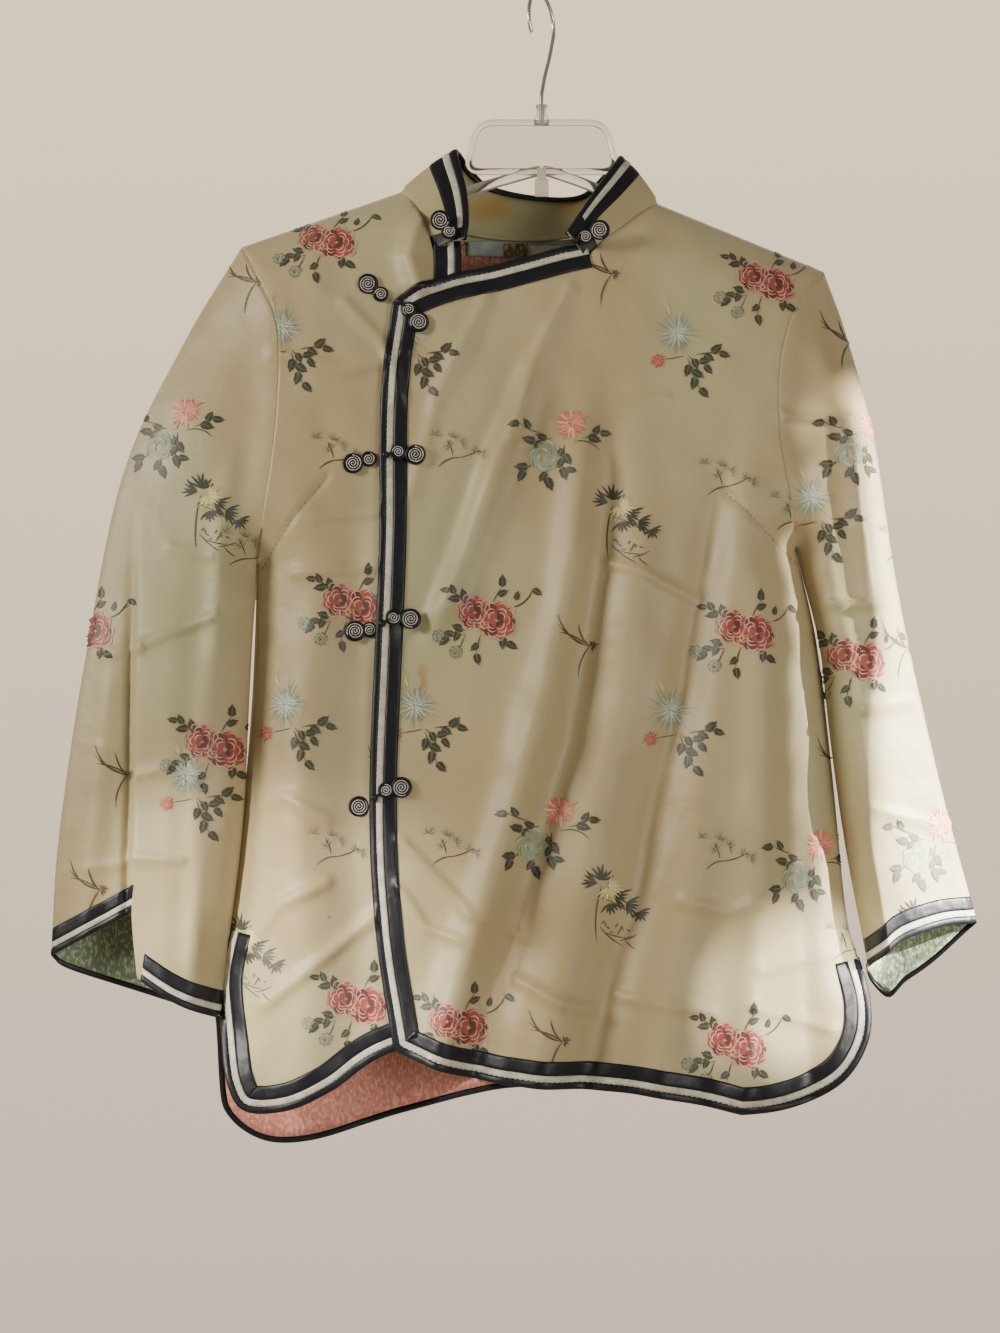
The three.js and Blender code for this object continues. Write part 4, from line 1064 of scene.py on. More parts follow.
def spiral(center, radius, turns, y, start):
    """Archimedean spiral in the plane of the cloth, slightly domed towards its middle."""
    t = np.linspace(0, 1, int(34 * turns))
    r = CORD_RADIUS * 0.5 + (radius - CORD_RADIUS * 1.3) * t
    angle = start + 2 * np.pi * turns * t
    dome = 0.9 * (1 - t**2)
    return np.column_stack([center[0] + r * np.cos(angle), y - dome, center[1] + r * np.sin(angle)])


def pad(name, center, radius, y, depth, material):
    """A low navy dome under a coil: rings of points from its rim to its middle."""
    ring = np.linspace(0, 1, 8)[:, None]
    angle = np.linspace(0, 2 * np.pi, 28, endpoint=False)[None]
    profile = np.sqrt(np.clip(1 - (1 - ring) ** 2, 0, 1))
    r = radius * (1 - ring * 0.999)
    x = center[0] + r * np.cos(angle)
    z = center[1] + r * np.sin(angle)
    rings = np.stack([x, y - depth * profile + 0 * angle, z], -1)
    points = np.concatenate([rings[:1] + [0, depth, 0], rings])
    return closed_mesh(name, points.reshape(-1, 3), capped(*points.shape[:2]), material)


FROGS = [
    dict(name="frog_1_loop_side", big=(-123, -219.5), small=(-114, -227), on=under_face),
    dict(name="frog_1_knot_side", big=(-87, -248), small=(-94, -239), knot=(-101, -233), on=over_face),
    dict(name="frog_2_loop_side", big=(-133, -347), small=(-122, -344), on=under_face),
    dict(name="frog_2_knot_side", big=(-89, -342), small=(-101, -340), knot=(-110, -342), on=over_face),
    dict(name="frog_3_loop_side", big=(-131, -465), small=(-121, -464), on=under_face),
    dict(name="frog_3_knot_side", big=(-92, -457), small=(-104, -456), knot=(-112, -460), on=over_face),
    dict(name="frog_4_loop_side", big=(-128, -587), small=None, on=under_face),
    dict(name="frog_4_knot_side", big=(-98, -574), small=(-109, -576), knot=(-117, -581), on=over_face),
    dict(name="collar_frog_loop_side", big=(-72, -176), small=(-66, -184), on=None),
    dict(name="collar_frog_knot_side", big=(40, -183), small=(30, -188), knot=(23, -190), on=None),
]
COLLAR_FROG_Y = -38.5
LIFT_ON_OVER, LIFT_ELSEWHERE = 1.8, 0.6  # of a frog above the cloth; more where it lies on the borders
frog_pieces = []


def frog_plane(frog):
    """Depth of the highest cloth under a frog, so that the cord lies on it and not in it."""
    if frog["on"] is None:
        return COLLAR_FROG_Y
    spots = np.array([p for p in (frog["big"], frog["small"]) if p], float)
    return float(frog["on"](spots[:, 0], spots[:, 1]).min())


for frog in FROGS:
    y = frog_plane(frog) - (LIFT_ON_OVER if frog["on"] is over_face else LIFT_ELSEWHERE)
    parts = []
    for label, radius, turns in (("big", 6.1, 3.3), ("small", 4.4, 2.5)):
        place = frog[label]
        if place:
            name = f"{frog['name']}_{label}"
            parts.append(pad(f"{name}_pad", place, radius + 0.5, y, 1.0, NAVY))
            coil = spiral(place, radius, turns, y - 1.15, 0.8 + place[0])
            parts.append(tube(f"{name}_coil", coil, CORD_RADIUS, CORD))
            edge = np.linspace(0, 2 * np.pi, 48)
            rim = place + (radius + 0.4) * np.column_stack([np.cos(edge), np.sin(edge)])
            parts.append(tube(f"{name}_rim", in_plane(rim, y - 0.7), 0.75, NAVY))
    if frog.get("knot"):
        link = in_plane(straight(frog["small"], frog["knot"], 12), y - 0.9)
        parts.append(tube(f"{frog['name']}_link", link, 1.1, NAVY))
        parts.append(pad(f"{frog['name']}_knot", frog["knot"], 2.6, y, 2.6, NAVY))
    frog_pieces.append((frog["name"], parts))
print("frog pieces:", sum(len(parts) for _, parts in frog_pieces))

# %% [markdown]
# ## Woven flowers
# The brocade repeats six small pictures: a double peony, a coral peony with a pale rose, a spiky
# chrysanthemum, a yellow one among bamboo, a pine sprig and a tuft of orchid grass.
# Every stroke is one narrow strip with a heading that turns evenly. Strokes are collected into a
# picture, and the pictures are laid on the cloth as raised threads.

# %% Strokes
TINTS = dict(rose=(0.30, 0.062, 0.048), rose_deep=(0.13, 0.028, 0.028), blush=(0.60, 0.34, 0.24),
             coral=(0.62, 0.19, 0.125), coral_light=(0.72, 0.38, 0.27), sage=(0.26, 0.29, 0.19),
             cream=(0.62, 0.58, 0.40), blue=(0.29, 0.34, 0.27), blue_light=(0.47, 0.52, 0.42),
             olive=(0.045, 0.046, 0.026), olive_light=(0.13, 0.125, 0.075), bark=(0.085, 0.062, 0.035),
             straw=(0.62, 0.50, 0.16), needle=(0.12, 0.135, 0.08))
PROFILES = {
    "leaf": lambda t: np.sin(np.pi * np.clip(t, 0.02, 0.98)) ** 0.8,
    "thread": lambda t: np.clip(4 * t, 0.35, 1) * np.clip(4 * (1 - t), 0.35, 1),
    "fan": lambda t: np.sqrt(np.clip(1 - (2 * t**1.4 - 1) ** 2, 0.01, 1)),
    "spike": lambda t: 1.0 - 0.85 * t,
}


def polar(at, angle, distance):
    """The place at a distance from another, in a direction given in degrees."""
    return (at[0] + math.cos(math.radians(angle)) * distance, at[1] + math.sin(math.radians(angle)) * distance)


class Picture:
    """A collection of strokes, in millimetres about the middle of the picture."""

    def __init__(self, seed):
        self.rng = np.random.default_rng(seed)
        self.points, self.faces, self.tints, self.count = [], [], [], 0

    def strip(self, start, angle, length, width, bend=0.0, shape="leaf", tint="olive", layer=0, steps=6):
        """One stroke: it sets off at an angle, turns by bend in all, and takes its width from a
        profile. Its middle line stands a little higher than its edges. Returns its end."""
        t = np.linspace(0, 1, steps + 1)
        heading = np.radians(angle + bend * (t - 0.5))
        step = length / steps
        way = np.column_stack([np.cos(heading), np.sin(heading)])
        middle = np.vstack([[0, 0], np.cumsum((way[1:] + way[:-1]) / 2 * step, axis=0)]) + start
        half = 0.5 * width * PROFILES[shape](t)[:, None]
        across = np.column_stack([-way[:, 1], way[:, 0]]) * half
        height = 0.05 + 0.05 * layer
        rows = [np.column_stack([middle + across, np.full(steps + 1, height)]),
                np.column_stack([middle, np.full(steps + 1, height + 0.06)]),
                np.column_stack([middle - across, np.full(steps + 1, height)])]
        self.points.append(np.stack(rows, 1).reshape(-1, 3))
        self.faces.append(grid_faces(steps + 1, 3) + self.count)
        shade = self.rng.uniform(0.85, 1.15)
        color = [*(shade * np.array(TINTS[tint])), 1.0]
        self.tints.append(np.tile(color, (3 * (steps + 1), 1)))
        self.count += 3 * (steps + 1)
        return tuple(middle[-1])

    def leaf(self, start, angle, length):
        """A toothed leaf: a midrib with three pairs of barbs that shorten towards the tip."""
        self.strip(start, angle, length, 0.9, 8, "spike", "olive_light", 2, 3)
        for k, reach in enumerate((0.46, 0.42, 0.30)):
            at = polar(start, angle, length * (0.08 + 0.24 * k))
            for side in (-1, 1):
                self.strip(at, angle + side * 34, length * reach, length * 0.25, -side * 30,
                           "leaf", "olive", 1, 4)
        tip = polar(start, angle, length * 0.6)
        self.strip(tip, angle, length * 0.42, length * 0.2, 0, "leaf", "olive", 1, 4)

    def twig(self, start, angle, length, bend, leaves, size=7.0, tint="bark"):
        """A thin stem with leaves set along it at alternate sides."""
        end = self.strip(start, angle, length, 0.8, bend, "thread", tint, 0, 7)
        for k in range(leaves):
            f = (k + 1) / leaves
            at = (start[0] + (end[0] - start[0]) * f, start[1] + (end[1] - start[1]) * f)
            self.leaf(at, angle + (55 if k % 2 else -45) * (1 - 0.5 * f), size * self.rng.uniform(1.0, 1.4))
        return end

    def peony(self, at, radius, body, deep, edge):
        """Rings of fan petals from the rim inwards, each with a pale scalloped edge and dark folds."""
        for ring, (reach, count) in enumerate(((1.0, 9), (0.78, 8), (0.56, 6), (0.34, 4))):
            for k in range(count):
                angle = 360 * (k + 0.5 * (ring % 2) + self.rng.uniform(-0.15, 0.15)) / count
                r = radius * reach * self.rng.uniform(0.92, 1.06)
                base = polar(at, angle, r * 0.25)
                wide = 2 * math.pi * r / count
                tint = body if (k + ring) % 3 else deep
                self.strip(base, angle, r * 0.75, wide * 1.05, 0, "fan", tint, 1 + ring, 5)
                rim = polar(polar(at, angle, r * 0.93), angle - 90, wide * 0.42)
                self.strip(rim, angle + 90, wide * 1.15, 0.9, 150, "thread", edge, 2 + ring, 7)
                if ring < 3:
                    self.strip(base, angle + 12, r * 0.5, 0.7, 30, "spike", deep, 2 + ring, 3)

    def burst(self, at, radius, count, tints, width=1.3, spread=360, aim=90, layer=1):
        """Spikes that radiate from a middle with uneven lengths."""
        for k in range(count):
            angle = aim + spread * ((k + self.rng.uniform(-0.3, 0.3)) / count - 0.5)
            inner = radius * self.rng.uniform(0.05, 0.32)
            reach = radius * self.rng.uniform(0.55, 1.0) - inner
            self.strip(polar(at, angle, inner), angle, reach, width, self.rng.uniform(-35, 35),
                       "spike", tints[k % len(tints)], layer, 4)

    def rose(self, at, radius, body, edge):
        """A pale rose: a filled round of petals with curled threads around its middle."""
        for k in range(7):
            angle = 51.4 * k
            base = polar(at, angle, radius * 0.2)
            self.strip(base, angle, radius * 0.8, radius * 0.8, 0, "fan", body, 1, 4)
        for k in range(14):
            angle = 47 * k
            r = radius * (1.0 - 0.06 * k)
            self.strip(polar(at, angle, r * 0.9), angle + 90, r * 0.8, 0.7, 80, "thread",
                       edge if k % 2 else "olive_light", 3, 5)


# %% The six pictures


def double_peony():
    """Two rose peonies among leaves, with two buds below."""
    p = Picture(1)
    for start, angle, length, bend, leaves in (((-11, 7), 145, 18, 20, 4), ((4, 9), 60, 13, -20, 2),
                                               ((-12, -8), 200, 16, 30, 4), ((-4, -12), 255, 14, 10, 2),
                                               ((9, -10), 300, 9, 0, 2)):
        p.twig(start, angle, length, bend, leaves)
    end = p.strip((16, 6), 40, 22, 1.0, 70, "thread", "olive", 0, 8)
    p.leaf(end, -35, 8)
    p.leaf((20, 11), 75, 7)
    for bud in ((-34, -14), (-22, -25)):
        angle = math.degrees(math.atan2(bud[1] + 12, bud[0] + 15))
        p.strip((-15, -12), angle, 17, 0.7, -20, "thread", "bark", 0, 6)
        p.rose(bud, 4.4, "sage", "olive_light")
    p.peony((-8.5, 2.5), 11.5, "rose", "rose_deep", "blush")
    p.peony((6.5, -2.5), 13.5, "rose", "rose_deep", "blush")
    return p


def coral_and_rose():
    """A coral peony above a pale rose."""
    p = Picture(2)
    for start, angle, length, bend, leaves in (((-14, 8), 160, 16, -20, 2), ((-6, 4), 190, 12, 20, 3),
                                               ((2, 0), 265, 10, 0, 3), ((14, 4), 20, 14, 30, 3),
                                               ((-20, -14), 215, 7, 0, 2), ((-10, -16), 265, 7, 0, 2),
                                               ((-2, -14), 320, 6, 0, 2)):
        p.twig(start, angle, length, bend, leaves, 7.5)
    p.strip((8, 1), -15, 21, 0.8, -70, "thread", "olive", 0, 8)
    p.rose((-12, -9), 11, "sage", "cream")
    for reach, count in ((14.5, 26), (11.5, 20), (8.5, 14), (5.0, 9)):
        p.burst((7, 15), reach, count, ("coral", "coral_light", "coral"), 3.2, layer=2)
    for k in range(9):
        p.strip((4 + 0.8 * k, 12 + (k % 3) * 2.4), 40 * k, 4.5, 0.6, 120, "thread",
                "rose" if k % 2 else "blush", 4, 4)
    return p


def spiky_chrysanthemum():
    """A pale blue chrysanthemum with a small coral flower."""
    p = Picture(3)
    for start, angle, length, bend, leaves in (((4, -6), 330, 14, 40, 3), ((4, -8), 290, 14, 10, 3),
                                               ((10, -6), 5, 16, -20, 3), ((8, -14), 285, 16, 30, 2)):
        p.twig(start, angle, length, bend, leaves, 7.5)
    p.strip((-12, -9), 10, 14, 0.7, 10, "thread", "bark", 0, 5)
    p.burst((-17, -10), 6.5, 26, ("coral", "rose"), 1.6)
    p.burst((-3, 10), 19, 52, ("blue", "blue_light", "sage"), 0.9)
    p.burst((-3, 10), 13, 34, ("blue_light", "blue"), 1.1, layer=2)
    p.burst((-3, 10), 7, 18, ("blue", "cream"), 1.2, layer=3)
    p.burst((-8, 22), 15, 3, ("straw", "cream"), 0.9, 40, 110)
    return p


def yellow_chrysanthemum():
    """A straw-yellow chrysanthemum among bamboo."""
    p = Picture(4)
    p.strip((-3, 14), 265, 38, 1.0, 25, "thread", "bark", 0, 9)
    for place, aim, count, reach, spread in (((-3, 18), 85, 7, 12, 130), ((-6, 16), 165, 5, 14, 70),
                                             ((6, 8), 335, 6, 14, 80), ((15, 2), 330, 7, 12, 110),
                                             ((24, -4), 300, 7, 9, 160), ((3, 2), 285, 6, 11, 120)):
        for k in range(count):
            p.strip(place, aim + spread * (k / (count - 1) - 0.5), reach * p.rng.uniform(0.6, 1.0), 1.7,
                    p.rng.uniform(-20, 20), "leaf", "olive", 1, 5)
    p.strip((-3, 6), 330, 30, 0.8, -20, "thread", "bark", 0, 6)
    for start, angle, length in (((-4, -14), 320, 22), ((0, -18), 345, 16), ((10, -24), 20, 13),
                                 ((8, -20), 60, 7), ((14, -24), 320, 9)):
        p.strip(start, angle, length, 0.8, 25, "thread", "bark", 0, 5)
    for k in range(7):
        p.strip((-3 + 3 * k, -12 - 2 * (k % 4)), 50 + 47 * k, 3.4, 1.2, 40, "leaf", "olive_light", 1, 4)
    for reach, layer in ((12, 2), (8, 3)):
        p.burst((2, 13), reach, 18, ("straw", "cream", "straw"), 1.7, 230, 330, layer)
    return p


def pine_sprig():
    """Tufts of pine needles on three twigs."""
    p = Picture(5)
    p.strip((-8, -14), 25, 16, 1.0, -50, "thread", "bark", 0, 6)
    p.strip((4, -8), 20, 18, 0.8, 25, "thread", "bark", 0, 6)
    p.strip((2, -6), 110, 12, 0.8, 25, "thread", "bark", 0, 5)
    for place, aim in (((-10, 8), 100), ((2, 6), 70), ((8, 2), 40), ((0, 0), 150), ((18, -4), 70),
                       ((22, -6), 30)):
        p.burst(place, 7, 9, ("needle", "sage", "needle"), 0.6, 190, aim)
    return p


def orchid_grass():
    """A tuft of long bent blades."""
    p = Picture(6)
    for angle, length, bend in ((138, 33, -70), (150, 27, -30), (160, 24, 35), (118, 18, -50), (250, 24, 45)):
        p.strip((9, -5), angle, length, 1.15, bend, "thread", "bark", 0, 9)
    p.burst((10, -5), 6, 9, ("bark", "olive_light"), 1.6, 200, 20)
    return p


PICTURES = {
    "peony": double_peony(), "coral": coral_and_rose(), "chrysanthemum": spiky_chrysanthemum(),
    "yellow": yellow_chrysanthemum(), "pine": pine_sprig(), "orchid": orchid_grass(),
}
for title, picture in PICTURES.items():
    print(title, "strokes", len(picture.points))

# %% Where the pictures lie
PLACES = {
    "over_front": dict(
        peony=[(159, -215), (-39, -455), (141, -465), (-58, -736), (133, -750)],
        coral=[(13, -334), (4, -605), (188, -628)],
        chrysanthemum=[(98, -264), (92, -530), (-86, -527), (-92, -264)],
        yellow=[(52, -390), (43, -656)],
        pine=[(-65, -336), (124, -355), (-69, -614), (120, -617), (173, -379), (211, -680)],
        orchid=[(40, -208), (24, -470), (4, -743), (208, -554)]),
    "under_front": dict(
        peony=[(-153, -185), (-133, -446), (-128, -722)], coral=[],
        chrysanthemum=[(-177, -526), (-181, -260)], yellow=[(-209, -691)],
        pine=[(-149, -337), (-149, -614)], orchid=[(-108, -560)]),
    "back": dict(
        peony=[(120, -230), (-60, -232), (30, -455), (-150, -455), (190, -500), (120, -728), (-60, -730)],
        coral=[(20, -300), (-160, -300), (120, -350), (-60, -600), (110, -600), (-190, -660)],
        chrysanthemum=[(-110, -260), (70, -390), (-100, -530), (90, -530), (-20, -700), (180, -720)],
        yellow=[(-30, -380), (150, -390), (-140, -390), (40, -650), (-140, -650), (190, -610)],
        pine=[(170, -290), (-170, -220), (-60, -330), (-10, -530), (150, -650), (-190, -560), (60, -770)],
        orchid=[(60, -210), (-120, -340), (60, -330), (-40, -480), (140, -480), (-160, -750), (20, -600)]),
    "left_sleeve": dict(
        peony=[(-324, -460), (-228, -545)], coral=[(-260, -323)], chrysanthemum=[(-244, -575)],
        yellow=[(-237, -382)], pine=[(-212, -404)], orchid=[(-212, -211), (-300, -560), (-318, -640)]),
    "right_sleeve": dict(
        peony=[(220, -484)], coral=[(228, -330), (274, -614)], chrysanthemum=[(192, -380)],
        yellow=[(262, -680)], pine=[(252, -400)], orchid=[(250, -470), (212, -250)]),
}


BORDER_WIDTH = 18.0


def sleeve_outline(grid):
    """Outline of a sleeve grid above its cuff borders."""
    top_of_band = cuff_lines(grid, (BORDER_WIDTH,))[:, 0]
    return np.vstack([grid[0], grid[1:-8, -1], top_of_band[::-1], grid[1:-8, 0][::-1]])


def inner_area(edge, outline_rest, side):
    """The part of a panel inside its borders: the edge moved in by the border width."""
    return np.vstack([inset(edge, BORDER_WIDTH, side), outline_rest])


CLOTHS = {
    "over_front": (inner_area(over_edge, over_outline[len(over_edge):], 1), over_face),
    "under_front": (inner_area(under_edge, under_outline[len(under_edge):], -1), under_face),
    "back": (inner_area(back_edge, back_outline[len(back_edge):], 1), back_face),
}
BODY = np.vstack([shoulders, body_right, body_foot[[-1, 0]], body_left[::-1]])

# %% Lay the pictures on the cloth
THREADS, thread_nodes, thread_links, thread_shader = new_material(
    "brocade_threads", (0.5, 0.5, 0.4), 0.5, Sheen_Weight=0.3, Sheen_Roughness=0.4, Specular_IOR_Level=0.45)
tint = thread_nodes.new("ShaderNodeAttribute")
tint.attribute_name = "tint"
thread_links.new(tint.outputs["Color"], thread_shader.inputs["Base Color"])
strand = object_noise(thread_nodes, thread_links, 1500, 1, (1, 1, 0.2))
bump(thread_nodes, thread_links, thread_shader, [(strand.outputs["Fac"], 0.12)])


def lay(name, places, areas, face, outwards, lift=0.35):
    """One mesh of every picture at its places: each point keeps its height above the cloth face,
    and a face goes in only if its middle is inside all the given areas."""
    points, faces, tints, count = [], [], [], 0
    for title, spots in places.items():
        picture = PICTURES[title]
        p = np.vstack(picture.points)
        f = np.vstack(picture.faces)
        c = np.vstack(picture.tints)
        for cx, cz in spots:
            x, z = cx + p[:, 0], cz + p[:, 1]
            mx, mz = x[f].mean(1), z[f].mean(1)
            keep = np.ones(len(f), bool)
            for area in areas:
                keep &= inside(area, mx, mz)
            if not keep.any():
                continue
            used, kept = np.unique(f[keep], return_inverse=True)
            y = face(x[used], z[used]) + outwards * (lift + p[used, 2])
            points.append(np.column_stack([x[used], y, z[used]]))
            faces.append(kept.reshape(-1, 4) + count)
            tints.append(c[used])
            count += len(used)
    points, faces, tints = np.vstack(points), np.vstack(faces), np.vstack(tints)
    obj = new_object(name, points, faces, THREADS)
    layer = obj.data.attributes.new("tint", "FLOAT_COLOR", "POINT")
    layer.data.foreach_set("color", tints.ravel())
    face_away(obj.data, outwards)
    print(name, "faces", len(faces))
    return obj


def face_away(mesh, outwards):
    """Turns the flat pictures round if most of their faces look into the cloth."""
    normals = np.empty(len(mesh.polygons) * 3)
    mesh.polygons.foreach_get("normal", normals)
    if np.mean(np.sign(normals[1::3]) != outwards) > 0.5:
        mesh.flip_normals()


brocade = {}
for name in ("over_front", "under_front", "back"):
    area, face = CLOTHS[name]
    brocade[name] = [lay(f"woven_flowers_on_{name}", PLACES[name], [area, BODY], face, outwards_of(face))]
for name, sleeve in SLEEVES.items():
    brocade[name] = []
    for where, grid in zip(("front", "back"), sleeve["grids"]):
        brocade[name].append(lay(f"woven_flowers_on_{name}_{where}", PLACES[name], [sleeve_outline(grid)],
                                 lambda x, z: sleeve_face(x, z, sleeve, where == "front"),
                                 -1.0 if where == "front" else 1.0))

# %% [markdown]
# ## The hanger
# The hanger is one clear moulding: a handle with a rim, two arms that go under the shoulders,
# a small size tab and a socket. A steel wire is hooked into the socket.

# %% Clear plastic and steel


def bumpy(name, color, roughness, noise, depth, **inputs):
    """A material of one colour whose surface rises and falls a little with a noise."""
    material, nodes, links, shader = new_material(name, color, roughness, **inputs)
    bump(nodes, links, shader, [(object_noise(nodes, links, *noise).outputs["Fac"], depth)])
    return material


PLASTIC = bumpy("clear_plastic", (0.93, 0.92, 0.88), 0.12, (90, 3), 0.25, Transmission_Weight=0.92, IOR=1.46)
FROSTED = bumpy("frosted_tab", (0.80, 0.74, 0.58), 0.5, (200, 3), 0.2, Transmission_Weight=0.45, IOR=1.46)
STEEL = bumpy("hook_steel", (0.66, 0.64, 0.60), 0.28, (500, 2, (1, 1, 0.1)), 0.05, Metallic=1.0)

# %% Hanger parts


def oval_tube(name, line, half_across, half_deep, material, sides=16, closed=False):
    """An oval bar along a line in the plane y = 0: across in the plane, deep along y."""
    path = in_plane(line)
    along = np.roll(path, -1, 0) - np.roll(path, 1, 0) if closed else np.gradient(path, axis=0)
    along /= np.linalg.norm(along, axis=1, keepdims=True)
    across = np.column_stack([-along[:, 2], 0 * along[:, 0], along[:, 0]])
    angle = np.linspace(0, 2 * np.pi, sides, endpoint=False)[None, :, None]
    deep = half_deep * np.sin(angle) * [[[0, 1, 0]]]
    ring = path[:, None] + half_across * np.cos(angle) * across[:, None] + deep
    if closed:
        faces = grid_faces(len(path) + 1, sides, wrap=True) % (len(path) * sides)
    else:
        faces = capped(len(path), sides)
    return closed_mesh(name, ring.reshape(-1, 3), faces, material)


def plate(name, outline, y, thickness, material):
    """A flat plate: an outline in the plane y = constant, given a thickness."""
    near = in_plane(outline, y - thickness / 2)
    points = np.vstack([near, near + (0, thickness, 0)])
    return closed_mesh(name, points, capped(2, len(outline)), material, False)


def rounded(corners, radius, steps=7):
    """A closed outline with each corner replaced by a short curve."""
    c = np.asarray(corners, float)
    out = []
    for before, at, after in zip(np.roll(c, 1, 0), c, np.roll(c, -1, 0)):
        a = at + (before - at) / np.linalg.norm(before - at) * radius
        b = at + (after - at) / np.linalg.norm(after - at) * radius
        t = np.linspace(0, 1, steps)[:, None]
        out.append((1 - t) ** 2 * a + 2 * t * (1 - t) * at + t**2 * b)
    return np.vstack(out)


HANDLE = [(-46, -93.5), (46, -93.5), (55, -129.5), (-55, -129.5)]
WEB = [(-44.5, -95.5), (44.5, -95.5), (53, -127.5), (-53, -127.5)]
TAB = [(-5, -136), (5, -136), (5, -149), (-5, -149)]
TAB_NECK = [(-3.4, -128), (3.4, -128), (3.4, -137), (-3.4, -137)]
TAB_Y = -3.8
hanger_parts = [
    oval_tube("hanger_rim", rounded(HANDLE, 12), 2.4, 3.4, PLASTIC, closed=True),
    plate("hanger_web", rounded(WEB, 9), 0, 1.8, PLASTIC),
    plate("hanger_tab", rounded(TAB, 1.5), TAB_Y, 1.6, FROSTED),
    plate("hanger_tab_neck", rounded(TAB_NECK, 0.8), TAB_Y, 1.5, FROSTED),
]
ARMS = dict(left=[(-1, -129), (-10, -131), (-44, -141), (-98, -158), (-150, -175), (-194, -191)],
            right=[(1, -129), (10, -131), (44, -144), (82, -166), (130, -185), (182, -208)])
for side, places in ARMS.items():
    hanger_parts.append(oval_tube(f"hanger_{side}_arm", smooth(places, 60), 3.9, 2.9, PLASTIC))


def turned(name, profile, material, sides=28):
    """A turned body about the z axis from pairs of radius and height."""
    profile = np.asarray(profile, float)
    angle = np.linspace(0, 2 * np.pi, sides, endpoint=False)[None]
    points = np.stack([profile[:, :1] * np.cos(angle), profile[:, :1] * np.sin(angle),
                       profile[:, 1:] + 0 * angle], -1)
    return closed_mesh(name, points.reshape(-1, 3), capped(len(profile), sides), material)


hanger_parts.append(turned("hanger_socket", [(5.6, -93), (4.8, -89), (3.4, -86), (3.2, -83), (4.2, -82.4),
                                             (4.2, -80.9), (3.0, -80.7)], PLASTIC))
HOOK_RADIUS, HOOK_MIDDLE = 20.5, -19
turn = math.radians(63)
bend = np.radians(np.linspace(-18, 218, 90))
reach = HOOK_RADIUS * np.cos(bend)
arc = np.column_stack([reach * math.cos(turn), reach * math.sin(turn),
                       HOOK_MIDDLE + HOOK_RADIUS * np.sin(bend)])
stem = [(0, 0, -92), (0, 0, -80), (0, 0, -73), (2.5, 4.5, -58), (6, 11.5, -42)]
wire = even(np.vstack([stem, arc]), 180)
for _ in range(3):
    wire[1:-1] = (wire[:-2] + 2 * wire[1:-1] + wire[2:]) / 4
hook = tube("steel_hook_wire", wire, 1.45, STEEL, 14)
print("hanger parts:", len(hanger_parts) + 1)

# %% [markdown]
# ## Stitches
# Small hand stitches hold the borders, and the bust darts show as broken brown lines.
# Each stitch is a short strip of thread on the cloth.

# %% Stitch lines


def stitches(name, line, length, gap, width, face, lift, material):
    """Short strips along a line: every stitch is two points on the line, given a width."""
    starts = np.arange(1, distances_along(line)[-1] - length, length + gap)
    a, b = at_distances(line, starts), at_distances(line, starts + length)
    way = (b - a) / np.linalg.norm(b - a, axis=1, keepdims=True)
    across = np.column_stack([-way[:, 1], way[:, 0]]) * width / 2
    corners = np.stack([a - across, b - across, b + across, a + across], 1).reshape(-1, 2)
    x, z = corners.T
    outwards = outwards_of(face)
    faces = facing_front(np.arange(len(corners)).reshape(-1, 4), x, z, outwards < 0)
    return new_object(name, np.column_stack([x, face(x, z) + outwards * lift, z]), faces, material)


stitch_pieces = []
for name, side, places, face in (
        ("under_front", "left", [(-151, -356), (-175, -385), (-200, -420)], under_face),
        ("over_front", "right", [(128, -366), (155, -393), (183, -417)], over_face)):
    dart = smooth(places, 40)
    stitch_pieces.append((name, stitches(f"{side}_dart_stitches", dart, 2.4, 1.4, 0.6, face, 0.3, THREAD_DARK)))
for name, edge, side, face in (("over_front", over_edge, 1, over_face),
                               ("under_front", under_edge, -1, under_face),
                               ("back", back_edge, 1, back_face)):
    seam = inset(edge, 4.4, side)
    stitch_pieces.append((name, stitches(f"{name}_piping_stitches", seam, 1.4, 2.2, 0.45, face, 1.5, PIPING)))
print("stitch lines:", len(stitch_pieces))

# %% [markdown]
# ## Floor, light and camera
# A plain pale floor lies well below the hem, and a pale backdrop stands three metres behind; it glows with
# painted light, lighter towards the top.
# A wide soft light stands at the left and a weaker one low at the right. A row of narrow lights
# makes a shaft of sun along the right sleeve, and two more fall on the hems.

# %% Stage, lights and camera
ROOM_HALF, ROOM_BACK, ROOM_FLOOR, ROOM_TOP = 4000, 3200, -2100, 3000


def room_side(name, near, far, material):
    """A flat side of the room between two edges that run across it."""
    corners = [(sign * ROOM_HALF, *end) for end, signs in ((near, (-1, 1)), (far, (1, -1))) for sign in signs]
    return new_object(name, corners, [(0, 1, 2, 3)], material, False)


FLOOR = new_material("pale_floor", (0.62, 0.57, 0.50), 0.9)[0]
floor = room_side("floor", (-ROOM_HALF, ROOM_FLOOR), (ROOM_BACK, ROOM_FLOOR), FLOOR)
BACKDROP, back_nodes, back_links, back_shader = new_material("pale_backdrop", (0.6, 0.5, 0.4), 0.9)
where = back_nodes.new("ShaderNodeTexCoord")
split = back_nodes.new("ShaderNodeSeparateXYZ")
back_links.new(where.outputs["Object"], split.inputs[0])
height = back_nodes.new("ShaderNodeMapRange")
height.inputs["From Min"].default_value = -1.7
height.inputs["From Max"].default_value = 1.1
back_links.new(split.outputs["Z"], height.inputs["Value"])
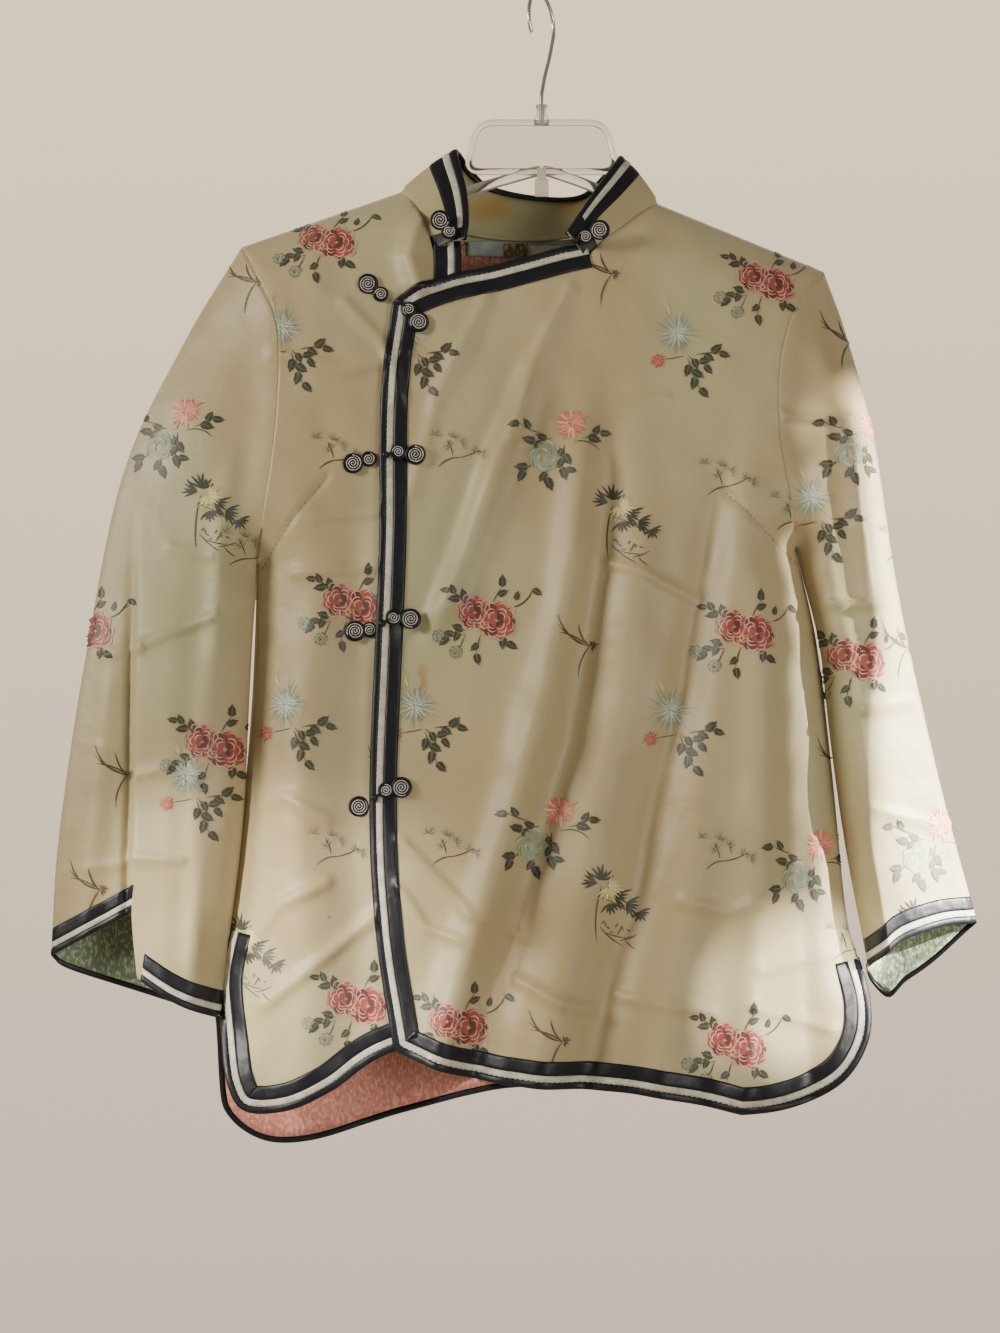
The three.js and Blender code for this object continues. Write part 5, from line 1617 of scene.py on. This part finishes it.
# Painted light: the backdrop glows, dim and warm at the bottom and brighter towards the top, like a lit wall.
painted_wall_light = ramp(back_nodes, back_links, height.outputs["Result"],
            [(0.0, (0.60, 0.49, 0.42)), (0.5, (0.78, 0.62, 0.45)), (1.0, (0.98, 0.79, 0.54))])
back_links.new(painted_wall_light.outputs["Color"], back_shader.inputs["Emission Color"])
back_shader.inputs["Emission Strength"].default_value = 1.45
back_shader.inputs["Base Color"].default_value = (0.02, 0.02, 0.02, 1)
backdrop = room_side("backdrop", (ROOM_BACK, ROOM_FLOOR), (ROOM_BACK, ROOM_TOP), BACKDROP)

world = bpy.data.worlds.new("pale_room")
bpy.context.scene.world = world
world.use_nodes = True
background = world.node_tree.nodes["Background"]
background.inputs["Color"].default_value = (0.62, 0.555, 0.485, 1)
background.inputs["Strength"].default_value = 0.42


def aim(light, place, target):
    """Puts a light at a place in metres and turns it to face a target."""
    light.location = place
    x, y, z = (b - a for a, b in zip(place, target))
    light.rotation_euler = (math.pi / 2 + math.atan2(z, math.hypot(x, y)), 0, math.atan2(-x, y))
    bpy.context.scene.collection.objects.link(light)


def area_light(name, place, target, size, power, color):
    """A square area light."""
    data = bpy.data.lights.new(name, "AREA")
    data.shape = "SQUARE"
    data.size = size
    data.energy = power
    data.color = color
    aim(bpy.data.objects.new(name, data), place, target)


area_light("key_from_left", (-2.35, -1.05, 0.25), (0, 0, -0.5), 0.6, 62, (1.0, 0.94, 0.84))
area_light("window_low", (1.5, -1.9, -0.7), (0, 0, -0.5), 1.0, 26, (1.0, 0.96, 0.90))


def spot_light(name, place, target, angle, power, blend=0.35):
    """A narrow spot light with soft edges, for a shaft of sun."""
    data = bpy.data.lights.new(name, "SPOT")
    data.energy = power
    data.color = (1.0, 0.95, 0.87)
    data.spot_size = math.radians(angle)
    data.spot_blend = blend
    data.shadow_soft_size = 0.02
    aim(bpy.data.objects.new(name, data), place, target)


for number, part in enumerate(np.linspace(0, 1, 10)):
    spot_light(f"sun_on_right_sleeve_{number + 1}", (1.9, -0.8, 0.1),
               (0.228 + 0.056 * part, -0.01, -0.31 - 0.37 * part), 1.3 + 1.3 * part, 1500, 0.5)
spot_light("sun_on_right_hem", (1.2, -1.5, -0.2), (0.175, -0.02, -0.715), 3.4, 620, 0.15)
spot_light("sun_on_left_hem", (-1.5, -1.4, -0.1), (-0.17, -0.02, -0.69), 8, 330, 1.0)

DISTANCE = 1.55
FRAME_HEIGHT = 0.933
data = bpy.data.cameras.new("camera")
data.sensor_fit = "VERTICAL"
data.sensor_height = 36
data.lens = 36 * DISTANCE / FRAME_HEIGHT
data.dof.use_dof = False
camera = bpy.data.objects.new("camera", data)
UP = math.radians(4)
camera.location = (-0.030, -0.02 - DISTANCE, -0.489 - DISTANCE * math.tan(UP))
camera.rotation_euler = (math.pi / 2 + UP, 0, 0)
bpy.context.scene.collection.objects.link(camera)
bpy.context.scene.camera = camera
print("lens:", round(data.lens, 1), "mm")

# %% [markdown]
# ## Which piece stands for which
# Every fine piece rides the one body and replaces its plain solid.


def stands_for(obj, node):
    """A fine piece in place of a solid: it rides the body, and the solid is hidden."""
    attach(obj, "root")
    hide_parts(node)


for name in ("over_front", "under_front", "back", "left_sleeve", "right_sleeve", "collar"):
    stands_for(panels[name]["piece"], name)
for side in ("left", "right"):
    stands_for(panels[f"{side}_cuff_lining"]["piece"], f"{side}_sleeve_lining")
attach(lining, "root")
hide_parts("back_lining_at_neck", "back_lining_at_hem")
stands_for(tape, "neck_facing")
stands_for(label_dark, "small_label")
stands_for(label_light, "large_label")
going = {name: [] for name in panels}
for strip, cloth, node in borders:
    stands_for(strip, node)
    going[cloth].append(strip)
for name, parts in frog_pieces:
    for part in parts:
        stands_for(part, name)
for cloth, pieces in brocade.items():
    for piece in pieces:
        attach(piece, "root")
        going[cloth].append(piece)
for cloth, piece in stitch_pieces:
    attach(piece, "root")
    going[cloth].append(piece)
for part in hanger_parts:
    stands_for(part, "hanger")
stands_for(hook, "hook")
for name, panel in panels.items():
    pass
print("declared sheets:", len(panels))
